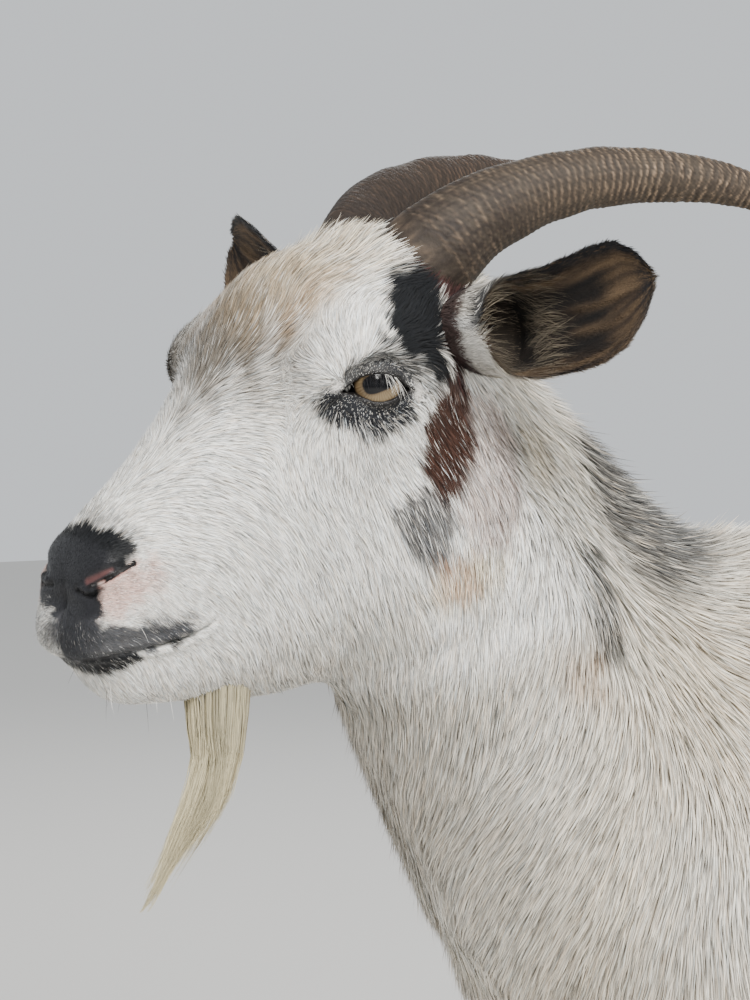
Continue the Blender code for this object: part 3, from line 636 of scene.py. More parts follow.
def keep_largest(mesh):
    """Drops every loose shell but the largest."""
    web = Web(mesh)
    label = np.arange(web.count)
    while True:
        lowest = label.copy()
        np.minimum.at(lowest, web.first, label[web.second])
        np.minimum.at(lowest, web.second, label[web.first])
        lowest = lowest[lowest]
        if np.array_equal(lowest, label):
            break
        label = lowest
    biggest = np.bincount(label).argmax()
    shaping = bmesh.new()
    shaping.from_mesh(mesh)
    shaping.verts.ensure_lookup_table()
    loose = [shaping.verts[k] for k in np.flatnonzero(label != biggest)]
    bmesh.ops.delete(shaping, geom=loose, context="VERTS")
    shaping.to_mesh(mesh)
    shaping.free()


# The coat's depth in mm, by how far forward on the head in mm, and by the height over the floor in metres.
FACE_COAT = ((-60, 3.6), (-20, 2.4), (30, 1.8), (70, 1.5), (105, 0.9), (130, 0.6))
BODY_COAT = ((0.0, 0.8), (0.03, 1.2), (0.10, 1.8), (0.20, 2.8), (0.30, 4.5), (0.36, 6.5))


def coat_depth(points):
    """How far the skin lies under the outline of the coat."""
    place = HEAD.place(points)
    on_head = ease(-72, -42, place[:, 1]) * ease(-150, -118, place[:, 2])
    face = np.interp(place[:, 1], *zip(*FACE_COAT))
    body = np.interp(points[:, 2], *zip(*BODY_COAT))
    body = body + 2.5 * dome(to_path(body_mm(points), CREST)[0], 35.0)
    face = face + 4.5 * lump(folded(place), (16, -34, 50), (26, 16, 16))
    return (body + on_head * (face - body)) * MM


def refined(mesh, chosen):
    """Splits every edge whose two ends are both chosen."""
    shaping = bmesh.new()
    shaping.from_mesh(mesh)
    edges = [edge for edge in shaping.edges if all(chosen[end.index] for end in edge.verts)]
    bmesh.ops.subdivide_edges(shaping, edges=edges, cuts=1, use_grid_fill=True)
    shaping.to_mesh(mesh)
    shaping.free()


# Folds of the face, on the left side of the head: behind the jaw, under it, and from the eye's front corner.
JAW_CREASE = ((46, -74, -48), (55, -67, -66), (62, -54, -73), (65, -39, -79), (67, -30, -89), (69, -25, -100),
              (71, -25, -112))
JAW_EDGE = ((20, 28, -120), (39, 21, -117), (54, 10, -115), (62, -1, -113), (69, -18, -112))
# Fuller stretches of the neck, in the body's frame: the throat and the mane along the crest.
THROAT = ((0, -282, 480), (0, -262, 420), (0, -235, 370), (0, -190, 325))
CREST = ((0, -232, 656), (0, -203, 631), (0, -160, 600), (0, -110, 582), (0, -60, 574))
# Swellings and dips of the nose and the lips: the middle and the reach of each, and its height, in mm.
SWELLINGS = (
    ((9, 143, -45), (15, 9, 9), 3.0),
    ((0, 138, -31), (14, 9, 5), -1.6),
    ((8, 135, -17), (14, 10, 9), 1.2),
)
BROW, BROW_REACH = (50, 25, 19), (13, 14, 15)
BROW_LEFT, BROW_RIGHT = 5.0, 9.5
# Folds along a path: the path, how far each raises the skin and how far it reaches to its sides, in mm.
FACE_FOLDS = ((JAW_CREASE, -3.4, 5.0), (JAW_EDGE, -2.4, 5.0), (TEAR_LINE, -0.9, 1.3), (LOWER_SLIT, -1.8, 1.0))
BODY_FOLDS = ((THROAT, 6.0, 42.0), (CREST, 7.0, 40.0))
DEWCLAWS = [box_middle(node) for node in sorted(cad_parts) if node.startswith("dewclaw")]
DEWCLAW_SEAT, DEWCLAW_REACH = 5.5, 9.0


def near_lines(fold, reach):
    """Which places of the head lie that near to the mouth or a nostril."""
    return (to_path(fold, MOUTH)[0] < reach) | (to_path(fold, NOSTRIL)[0] < reach)


def lump(places, middle, reach):
    """A soft swelling: 1 at its middle, near 0 past its reach on each axis."""
    return dome(np.linalg.norm((places - np.array(middle)) / np.array(reach), axis=1), 1.0)


def over_wing(fold):
    """How far above the lower edge of the nostril's wing these places are, in mm."""
    edge = np.array(NOSTRIL)[::-1]
    return fold[:, 2] - np.interp(fold[:, 1], edge[:, 1], edge[:, 2])


def folds(places, rows):
    """How far the folds of these rows raise each place, in mm."""
    return sum(height * dome(to_path(places, path)[0], reach) for path, height, reach in rows)


def sculpt_face(points, normals):
    """Nostrils, lips, brows and the folds of face and neck, as pushes along the surface's own normals."""
    place = HEAD.place(points)
    fold = folded(place)
    push = np.where(place[:, 0] > 0, BROW_LEFT, BROW_RIGHT) * lump(fold, BROW, BROW_REACH)
    for middle, reach, height in SWELLINGS:
        push += height * lump(fold, middle, reach)

    # The nostrils: the wing's bulge, the slit under it, and the rim below the slit.
    gap, along = to_path(fold, NOSTRIL)
    above = over_wing(fold)
    push += 2.0 * lump(fold, (25, 124, -14), (9, 9, 6)) * ease(1.8, 4.2, above)
    opened = dome(to_path(fold, LINING)[0], 1.8)
    push -= np.maximum(1.1 * opened, 1.6 * dome(gap, 1.3) * ease(0.0, 0.15, along))
    push += 0.6 * np.where(above < 0, dome(gap - 2.8, 1.6), 0)

    # The mouth's line between full lips, and the groove down the middle of the upper lip.
    gap, along = to_path(fold, MOUTH)
    lips = 1 - ease(0.90, 1.0, along)
    push += lips * (1.0 * dome(gap - 2.8, 1.7) - 3.2 * dome(gap, 0.9))
    middle = dome(place[:, 0], 1.2) * ease(128, 138, place[:, 1]) * ease(-51, -47, place[:, 2])
    push -= 1.5 * middle * (1 - ease(-30, -22, place[:, 2]))

    push += folds(fold, FACE_FOLDS) + folds(body_mm(points), BODY_FOLDS)
    for claw in DEWCLAWS:
        push += DEWCLAW_SEAT * dome(np.linalg.norm(points - claw, axis=1) / MM, DEWCLAW_REACH)
    return points + normals * (push * MM)[:, None]


def skin_form():
    """The body's skin: the part's flesh softened, set in by the coat's depth and shaped round the face."""
    mesh = flesh_mesh()
    keep_largest(mesh)
    points = get_points(mesh)
    web = Web(mesh)
    place = HEAD.place(points)
    on_head = ease(-85, -60, place[:, 1]) * ease(-150, -125, place[:, 2])
    on_body = ease(0.24, 0.36, points[:, 2])  # from the elbows up, in metres
    points = web.soften(points, 8, 0.5)
    points = web.soften(points, 50, 0.5 * on_body * (1 - on_head))
    set_points(mesh, points)
    depth = coat_depth(points)
    points = points - get_normals(mesh) * depth[:, None]
    points = web.soften(points, 3, 0.4)
    set_points(mesh, points)
    for reach in ("head", "face", "lines"):
        points = get_points(mesh)
        place = HEAD.place(points)
        fold = folded(place)
        if reach == "head":
            chosen = (place[:, 1] > -80) & (place[:, 2] > -135)
        elif reach == "face":
            chosen = (place[:, 1] > 88) & (place[:, 2] > -100)
            chosen |= np.linalg.norm(fold - np.array((54, 0, 2)), axis=1) < 30
        else:
            chosen = near_lines(fold, 6)
        refined(mesh, chosen)
        web = Web(mesh)
        points = get_points(mesh)
        fold = folded(HEAD.place(points))
        weight = 0.5 * ((fold[:, 1] > -75) & (fold[:, 2] > -130))
        set_points(mesh, web.soften(points, 2, weight))
    points = sculpt_face(get_points(mesh), get_normals(mesh))
    set_points(mesh, points)
    return mesh


# ---------------------------------------------------------------- eyes and lids
EYEBALL = 12.7  # radius, mm
CORNEA_RISE = 0.7
IRIS_REACH = 9.9
PUPIL_HALF = (7.0, 3.9)
GAZE = (0.882, 0.320, 0.347)
# The lids' own axes in the head frame: outward, back towards the far corner of the eye, and up.
LID_OUT = (0.985, 0.159, 0.071)
LID_BACK = (0.174, -0.902, -0.399)
LID_UP = (0.0, -0.404, 0.914)
LID_MIDDLE = (-3.0, 1.0)  # mm back and up of the eyeball's middle
# The opening of the eye, mm back and up, round from its front corner over the top.
OPENING = (
    (-19.2, -2.2), (-16.5, -0.2), (-12.8, 2.3), (-9.3, 4.2), (-5.6, 5.2), (-1.5, 5.1), (3.3, 3.8), (7.2, 1.8),
    (13.0, -0.8), (10.0, -2.2), (6.1, -3.0), (2.8, -4.5), (-1.5, -5.7), (-5.4, -5.7), (-9.9, -3.9),
    (-13.6, -2.6), (-16.5, -2.6),
)
LID_PLANE = 7.9
LID_SPREAD = 11.0
# The lid's rows: how far each lies from the opening's edge, and how far it stands over the lids' line, in mm.
LID_ROWS = ((-1.2, -1.6), (-0.3, -0.5), (0.0, 0.2), (0.35, 0.8), (0.9, 1.25), (1.8, 1.4), (3.0, 1.3),
            (4.4, 1.1), (5.8, 0.9), (7.2, 0.6), (8.6, 0.3), (10.0, 0.0), (11.5, -0.3), (13.5, -1.0))
LID_ANGLES = 120
LID_PROBE = 40.0  # mm out from the eyeball's middle, where the search for the face starts
EYE_RINGS, EYE_AROUND = 70, 112


class EyeSide:
    """One eye: its middle and axes in the world."""

    def __init__(self, side, sign):
        mirror = np.array((sign, 1, 1))
        self.side, self.sign = side, sign
        self.middle = box_middle("eye_" + side)
        self.out = unit(HEAD.turn(np.array(LID_OUT) * mirror))
        self.back = unit(HEAD.turn(np.array(LID_BACK) * mirror))
        self.up = unit(HEAD.turn(np.array(LID_UP) * mirror))
        self.gaze = unit(HEAD.turn(np.array(GAZE) * mirror))

    def world(self, back, up, out):
        return (
            self.middle
            + np.asarray(back)[..., None] * MM * self.back
            + np.asarray(up)[..., None] * MM * self.up
            + np.asarray(out)[..., None] * MM * self.out
        )

    def place(self, points):
        off = (points - self.middle) / MM
        return off @ self.back, off @ self.up, off @ self.out


EYE_SIDES = [EyeSide(side, sign) for side, sign in SIDES]


def opening_reach(angles):
    """How far the opening reaches from its middle at each angle, in mm."""
    outline = np.array(OPENING) - np.array(LID_MIDDLE)
    outline = outline[np.argsort(np.arctan2(outline[:, 1], outline[:, 0]))]
    fine_bearing, fine_reach = [], []
    for start, end in zip(outline, np.roll(outline, -1, axis=0)):
        for t in np.linspace(0, 1, 8, endpoint=False):
            point = start + t * (end - start)
            fine_bearing.append(math.atan2(point[1], point[0]))
            fine_reach.append(math.hypot(*point))
    order = np.argsort(fine_bearing)
    return np.interp(angles, np.array(fine_bearing)[order], np.array(fine_reach)[order], period=2 * math.pi)


def lid_height(back, up):
    """How far out the lids' line lies: over the eyeball, and level with the face at the corners."""
    ball = np.sqrt(np.maximum((EYEBALL + 0.3) ** 2 - back**2 - up**2, 0.0))
    return np.logaddexp(ball / 0.7, LID_PLANE / 0.7) * 0.7


def past_opening(eye, points):
    """How far these points lie outside the eye's opening, in mm, and their heights over its plane."""
    back, up, out = eye.place(points)
    off_back, off_up = back - LID_MIDDLE[0], up - LID_MIDDLE[1]
    reach = opening_reach(np.arctan2(off_up, off_back))
    return np.hypot(off_back, off_up) - reach, out


def lid_patch(eye, face):
    """A ring of skin from the eye's opening out to the face, as points and triangles."""
    angles = np.linspace(-math.pi, math.pi, LID_ANGLES, endpoint=False)
    reach = opening_reach(angles)
    cos, sin = np.cos(angles), np.sin(angles)
    rows = []
    for distance, rise in LID_ROWS:
        spread = np.maximum(reach + distance, 0.5)
        back = LID_MIDDLE[0] + cos * spread
        up = LID_MIDDLE[1] + sin * spread
        lid = lid_height(back, up) + rise
        if distance > 2:
            crease = dome(distance - 5.8, 1.2) * ease(0.1, 0.5, sin)
            lid = lid - 0.9 * crease
        ground = []
        for start in eye.world(back, up, np.full(len(back), LID_PROBE)):
            hit = face.ray_cast(Vector(start), Vector(-eye.out))
            ground.append(LID_PROBE - hit[3] / MM if hit[0] is not None else LID_PLANE)
        share = ease(1.5, LID_SPREAD, distance)
        out = lid + share * (np.array(ground) + min(0.0, 0.6 * rise) + 0.05 - lid)
        rows.append(eye.world(back, up, out))
    faces = grid_faces(len(LID_ROWS), LID_ANGLES, closed=True)
    return np.concatenate(rows), quads_to_triangles(faces)


def eyeball(eye):
    """The eyeball, its cornea a little proud, painted with iris and pupil."""
    polar = np.linspace(0.0, math.pi * 0.60, EYE_RINGS)
    turn = np.linspace(0, 2 * math.pi, EYE_AROUND, endpoint=False)
    across = unit(np.cross(eye.gaze, HEAD.axes[2]))
    level = unit(np.cross(across, eye.gaze))
    if level @ HEAD.axes[2] < 0:
        level = -level
    theta, phi = np.meshgrid(polar, turn, indexing="ij")
    edge = math.asin(IRIS_REACH / EYEBALL)
    radius = EYEBALL + CORNEA_RISE * np.clip(1 - (theta / edge) ** 2, 0, 1) ** 1.2
    x, y = np.sin(theta) * np.cos(phi), np.sin(theta) * np.sin(phi)
    local = x[..., None] * across + y[..., None] * level + np.cos(theta)[..., None] * eye.gaze
    points = eye.middle + (radius * MM)[..., None] * local
    mesh = mesh_from(eye.side, points.reshape(-1, 3), grid_faces(EYE_RINGS, EYE_AROUND, closed=True))
    smooth_shaded(mesh)
    flat_x, flat_y = x.ravel() * EYEBALL, y.ravel() * EYEBALL
    tint(mesh, iris_colour(flat_x, flat_y, phi.ravel()))
    return mesh


def iris_colour(x, y, turn):
    """Amber iris with fine spokes, a long level pupil and a dark rim."""
    reach = np.hypot(x, y)
    spokes = 0.5 + 0.25 * np.sin(turn * 61 + 1.3 * np.sin(turn * 7)) + 0.25 * np.sin(turn * 37 + reach * 1.2)
    rings = 0.5 + 0.5 * np.sin(reach * 2.2)
    colour = blend(linear(134, 118, 90), linear(92, 75, 54), spokes) * (0.92 + 0.12 * rings[:, None])
    colour = blend(colour, linear(78, 60, 40), 0.55 * ease(7.2, 9.2, reach))
    colour = blend(colour, linear(12, 10, 10), ease(9.0, IRIS_REACH, reach))
    slot = (np.abs(x / PUPIL_HALF[0]) ** 3 + np.abs(y / PUPIL_HALF[1]) ** 3) ** (1 / 3)
    colour = blend(colour, linear(70, 55, 40), 0.5 * (1 - ease(1.0, 1.25, slot)))
    return blend(colour, linear(6, 6, 9), 1 - ease(0.93, 1.03, slot))


# ---------------------------------------------------------------- ears
# The part's own plan of the ear, with its root drawn into a closed tube that runs into the head.
EAR_LENGTH = 89.5
EAR_ROOT = (44.0, -56.0, 3.5)
EAR_RUN = {"left": (0.90, 0.33, 0.13), "right": (-0.86, 0.05, 0.39)}
EAR_OPENING = {"left": (0.30, -0.93, -0.12), "right": (-0.30, -0.93, 0.02)}
EAR_SAG, EAR_LIFT = 4.0, 6.0
# Along the ear: the radius of its cup, the degrees from its middle to its upper and its lower edge, and how
# far its back is set.
EAR_PLAN = (
    (-0.14, 8.0, 179, 179, -7.0), (0.0, 13.0, 179, 179, -12.0), (0.07, 16.0, 179, 179, -15.0),
    (0.14, 17.8, 179, 179, -16.5), (0.20, 18.5, 179, 179, -16.8), (0.25, 18.7, 158, 166, -16.0),
    (0.30, 19.2, 112, 126, -13.2), (0.36, 20.5, 82, 94, -9.8), (0.50, 24.5, 58, 66, -7.3),
    (0.75, 28.0, 52, 58, -4.6), (0.87, 27.0, 50, 52, -2.4), (0.95, 20.0, 46, 46, -1.0),
    (1.0, 9.0, 42, 42, 0.0),
)
EAR_THICKNESS = 2.2
EAR_ROWS, EAR_COLUMNS = 72, 56
EAR_LAYERS = 4.0
# Where along the ear the long pale hairs stand in its hollow, and how long they are.
LONG_FROM, LONG_TO = 0.17, 0.42
LONG_HAIR = (11, 24)


def ear_sheet(side, sign, t, s):
    """Points of the ear's middle sheet: t from root to tip, s from its upper edge to its lower one."""
    run = unit(EAR_RUN[side])
    opening = np.array(EAR_OPENING[side])
    opening = unit(opening - run * (opening @ run))
    breadth = np.cross(run, opening) * sign
    at, radii, upper_arcs, lower_arcs, backs = np.array(EAR_PLAN).T
    half_arc = np.radians(np.where(s < 0, np.interp(t, at, upper_arcs), np.interp(t, at, lower_arcs)))
    radius = np.interp(t, at, radii)
    angle = s * half_arc
    spine = HEAD.world((sign * EAR_ROOT[0], EAR_ROOT[1], EAR_ROOT[2]))
    spine = spine + run * (EAR_LENGTH * MM * t)[..., None]
    spine = spine + opening * (MM * np.interp(t, at, backs))[..., None]
    spine[..., 2] += MM * (EAR_LIFT * t * t - EAR_SAG * np.sin(math.pi * t))
    across = breadth * (radius * MM * np.sin(angle))[..., None]
    return spine + across + opening * (radius * MM * (1 - np.cos(angle)))[..., None], opening


def grid_edge(rows, columns):
    """The points of a grid's four edges, in turn."""
    last = columns * (rows - 1)
    edge = list(range(columns))
    edge += [columns * row + columns - 1 for row in range(1, rows)]
    edge += [last + column for column in range(columns - 2, -1, -1)]
    edge += [columns * row for row in range(rows - 2, 0, -1)]
    return np.array(edge)


def ear_form(side, sign):
    """Both faces of the ear as one closed sheet, with what the colours and the coat need at each point."""
    t = np.linspace(EAR_PLAN[0][0], 1.0, EAR_ROWS)
    s = np.sin(np.linspace(-math.pi / 2, math.pi / 2, EAR_COLUMNS))
    grid_t, grid_s = np.meshgrid(t, s, indexing="ij")
    middle, opening = ear_sheet(side, sign, grid_t, grid_s)
    along = np.gradient(middle, axis=0)
    beside = np.gradient(middle, axis=1)
    normal = unit(np.cross(along, beside))
    if np.sum(normal[EAR_ROWS // 2, EAR_COLUMNS // 2] * opening) < 0:
        normal = -normal
    tip = np.sqrt(np.clip(1.02 - np.clip(grid_t, 0, 1) ** 8, 0, 1))
    thin = EAR_THICKNESS * np.sqrt(np.clip(1.02 - grid_s**2, 0, 1)) * tip
    inner_part = ease(0.22, 0.40, grid_t) * (1 - ease(0.88, 0.97, grid_t))
    past_middle = grid_t - 0.5
    ribs = dome(grid_s + 0.12 - 0.25 * past_middle, 0.07) + dome(grid_s - 0.34 + 0.15 * past_middle, 0.07)
    inner = middle + normal * (MM * (thin / 2 + 1.3 * ribs * inner_part))[..., None]
    outer = middle - normal * (MM * thin / 2)[..., None]
    count = EAR_ROWS * EAR_COLUMNS
    quads = grid_faces(EAR_ROWS, EAR_COLUMNS)
    edge = grid_edge(EAR_ROWS, EAR_COLUMNS)
    after = np.roll(edge, -1)
    rim = np.stack((edge, after, after + count, edge + count), axis=-1)
    points = np.concatenate((inner.reshape(-1, 3), outer.reshape(-1, 3)))
    faces = np.concatenate((quads, quads[:, ::-1] + count, rim))
    spread = 0.35 * np.sign(grid_s) * np.abs(grid_s) ** 2
    flow = unit(unit(along) + spread[..., None] * unit(beside))
    return {
        "points": points,
        "faces": quads_to_triangles(faces),
        "t": np.tile(grid_t.ravel(), 2),
        "s": np.tile(grid_s.ravel(), 2),
        "inside": np.repeat((1.0, 0.0), count),
        "flow": np.tile(flow.reshape(-1, 3), (2, 1)),
        "normal": np.concatenate((normal.reshape(-1, 3), -normal.reshape(-1, 3))),
    }


def ear_colour(t, s, inside, chance, place):
    """White at the root, a black hollow with brown ridges and rims, and a black strip on its upper edge."""
    streak = 0.5 + 0.5 * wobble(np.column_stack((s * 26, t * 9, t * 0)), 4.0, 21)
    tan = linear(102, 83, 62)
    root = blend(WHITE * 0.82, CREAM * 0.7, 0.5 * (1 - streak))
    back = blend(root, tan, 0.8 * ease(0.25, 0.6, t))
    hollow = blend(linear(15, 13, 13), linear(72, 56, 42), 0.15 * streak)
    ridge = dome(s + 0.06 - 0.5 * (t - 0.6), 0.07) + dome(s - 0.30 - 0.3 * (t - 0.6), 0.08)
    cup = blend(hollow, tan, 0.5 * np.clip(ridge, 0, 1) * ease(0.50, 0.66, t))
    past_root = ease(0.12, 0.22, t)
    brow = ease(0.42, 0.66, -s) * ease(0.14, 0.22, t)
    margin = np.maximum(np.maximum(ease(0.62, 0.84, s), brow), ease(0.70, 0.84, t))
    cup = blend(cup, blend(linear(44, 35, 29), tan, streak), margin)
    cup = blend(cup, linear(74, 66, 56), 0.5 * (1 - ease(0.14, 0.26, t)))
    colours = np.where(inside[:, None] > 0.5, cup, back)
    black_edge = np.where(inside > 0.5, 1 - ease(-0.90, -0.74, s), 1 - ease(-0.78, -0.5, s)) * past_root
    black_tip = 0.7 * ease(0.90, 0.97, t) * (chance < 0.6)
    black = np.clip(black_edge * (chance < 0.9) + black_tip, 0, 1)
    colours = blend(colours, linear(26, 28, 33), 0.95 * black)
    colours = colours * (0.72 + 0.56 * chance)[:, None]
    # The red-brown hair in front of the ear runs a little way up its root.
    reach = 0.03 + 0.08 * ease(0.35, 0.6, np.abs(s))
    by_head = 1 - ease(-0.02, 0.02, t - reach + 0.02 * (streak - 0.5))
    colours = blend(colours, RED_BROWN, 0.95 * by_head)
    strip = outlined(colours, folded(place), (RED_STRIP,), chance, place[:, 0] < 0)
    return blend(strip, colours, ease(0.06, 0.12, t))


def ear_coat(side, ear):
    """The ear's own hair: short on its back, fringing its edges, and long and pale over the hollow."""
    points = ear["points"]
    mesh = mesh_from("ear_base", points, ear["faces"])
    t, s, inside = ear["t"], ear["s"], ear["inside"]
    length = np.interp(t, (-0.1, 0.1, 0.3, 0.7, 1.0), (8.0, 6.5, 6.0, 4.5, 3.5))
    hollow = inside * ease(0.20, 0.32, t) * (1 - ease(0.55, 0.75, np.abs(s)))
    length = length * (1 - 0.35 * hollow)
    width = np.interp(length, (3, 8), (0.28, 0.34))
    thin = 1.0
    density = EAR_LAYERS / (length * width) * (1 - 0.45 * hollow) * ease(-0.06, 0.0, t) * thin / (MM * MM)
    corners, share = scattered(mesh, density)
    roots = between(points, corners, share)
    facing = unit(between(ear["normal"], corners, share))
    way = unit(between(ear["flow"], corners, share))
    own_t, own_s, own_in = (between(values, corners, share) for values in (t, s, inside))
    count = len(roots)
    long_hair = (own_in > 0.5) & (own_t > LONG_FROM) & (own_t < LONG_TO) & (RANDOM.random(count) < 0.30)
    size = between(length, corners, share) * RANDOM.uniform(0.7, 1.2, count)
    size = np.where(long_hair, RANDOM.uniform(*LONG_HAIR, count), size)
    astray = np.radians(RANDOM.normal(0, np.where(long_hair, 13, 9)))[:, None]
    way = unit(way * np.cos(astray) + np.cross(facing, way) * np.sin(astray))
    steps = np.array((0.0, 0.5, 1.0))
    path = roots[:, None] + way[:, None] * (size[:, None] * MM * steps[None])[..., None]
    path[..., 2] -= np.where(long_hair, 0.10, 0.0)[:, None] * (size[:, None] * MM) * steps[None] ** 2
    rise = np.where(long_hair, 0.15, 0.09) * RANDOM.uniform(0.5, 1.5, count) * size  # mm off the skin
    lift = (rise[:, None] * steps[None] ** 1.3 - 0.2 * (1 - steps[None])) * MM
    normal = np.repeat(facing[:, None], 3, axis=1)
    colour = ear_colour(own_t, own_s, own_in, RANDOM.random(count), HEAD.place(roots))
    colour = np.where(long_hair[:, None], linear(150, 138, 118), colour)
    chart = 0.01 + 0.98 * np.column_stack(((own_s + 1) / 4 + 0.5 * own_in, (own_t + 0.15) / 1.15))
    wide = between(width, corners, share) * RANDOM.uniform(0.7, 1.2, count) * np.where(long_hair, 0.26, 1.0)
    wide = wide * MM
    return tuft_mesh("coat_ear_" + side, Tufts(path, normal, wide, lift, colour, chart))


# ---------------------------------------------------------------- the lie of the coat
# Guides of the hair's lie. Each row: where it is, which way the hair points there, how long it is and how
# wide a tuft is, in mm: on the head in the head's own axes, on the body from the part's own origin.

HEAD_LIE = (
    ((10, 137, -20), (0.2, -0.8, 0.5), 2.6, 0.23),
    ((23, 132, -27), (0.5, -0.8, -0.3), 2.0, 0.20),
    ((27, 122, -27), (0.3, -0.85, -0.4), 2.5, 0.20),
    ((5, 112, -3), (0.15, -0.95, 0.2), 6, 0.39),
    ((0, 85, 7), (0.1, -0.95, 0.28), 8, 0.43),
    ((15, 90, 0), (0.64, -0.77, -0.08), 8, 0.43),
    ((11, 67, 12), (0.6, -0.8, 0.0), 9, 0.46),
    ((28, 90, -15), (0.44, -0.69, -0.58), 8, 0.43),
    ((30, 67, -5), (0.64, -0.52, -0.57), 9, 0.46),
    ((30, 50, 7), (0.56, -0.70, -0.44), 9, 0.46),
    ((40, 40, -12), (0.1, 0.25, -0.96), 9, 0.46),
    ((42, 45, -36), (0.0, -0.13, -0.99), 11, 0.51),
    ((38, 61, -29), (0.14, -0.39, -0.91), 10, 0.46),
    ((35, 77, -49), (0.0, -0.35, -0.94), 10, 0.46),
    ((35, 53, -71), (-0.25, -0.18, -0.95), 15, 0.54),
    ((28, 74, -80), (-0.33, -0.12, -0.94), 15, 0.54),
    ((32, 96, -48), (0.0, -0.51, -0.86), 6, 0.39),
    ((30, 112, -40), (0.11, -0.45, -0.89), 4.5, 0.23),
    ((14, 143, -40), (0.5, -0.1, -0.85), 2.4, 0.18),
    ((21, 128, -70), (0.0, -0.14, -0.99), 9, 0.43),
    ((18, 102, -87), (-0.4, -0.3, -0.87), 14, 0.54),
    ((15, 63, -108), (-0.4, -0.35, -0.85), 17, 0.61),
    ((31, 36, 18), (0.69, -0.71, -0.13), 9, 0.46),
    ((31, 22, 30), (0.47, -0.79, 0.41), 11, 0.51),
    ((16, 12, 45), (-0.1, -0.82, 0.54), 12, 0.54),
    ((0, 10, 50), (0.0, -0.8, 0.6), 12, 0.54),
    ((33, -9, 45), (0.28, -0.96, 0.04), 13, 0.54),
    ((40, -35, 40), (0.19, -0.94, -0.29), 16, 0.54),
    ((54, 2, 32), (-0.58, -0.73, 0.37), 9, 0.46),
    ((57, 12, 24), (-0.22, -0.14, 0.97), 7, 0.39),
    ((52, 15, 28), (-0.79, -0.27, 0.55), 8, 0.39),
    ((63, -7, 19), (-0.2, -0.96, 0.21), 8, 0.43),
    ((63, -15, 12), (0.0, -0.99, -0.14), 8, 0.43),
    ((61, -21, 0), (0.0, -0.63, -0.77), 9, 0.46),
    ((60, -18, -8), (-0.2, -0.31, -0.93), 9, 0.46),
    ((45, 24, 17), (-0.83, 0.45, 0.34), 5, 0.39),
    ((44, 26, 2), (-0.27, 0.71, -0.65), 6, 0.39),
    ((51, 20, -11), (0.0, 0.34, -0.94), 7, 0.39),
    ((57, 10, -15), (0.0, 0.05, -1.0), 7, 0.39),
    ((59, -3, -17), (0.0, -0.34, -0.94), 8, 0.43),
    ((53, -4, -34), (0.16, -0.18, -0.97), 10, 0.51),
    ((54, -26, -23), (-0.2, 0.0, -0.96), 10, 0.42),
    ((58, -18, -47), (0.2, 0.15, -0.97), 12, 0.45),
    ((50, -34, 23), (-0.61, -0.77, 0.2), 10, 0.46),
    ((49, -53, 10), (-0.34, -0.75, 0.57), 11, 0.51),
    ((55, -39, -11), (0.06, 0.3, -0.95), 11, 0.51),
    ((55, 6, -72), (0.12, 0.0, -0.99), 14, 0.54),
    ((39, 25, -83), (0.0, 0.0, -1.0), 15, 0.58),
    ((0, -45, 52), (0.0, -1.0, 0.1), 19, 0.7),
    ((0, -80, 30), (0.0, -1.0, -0.3), 20, 0.85),
)
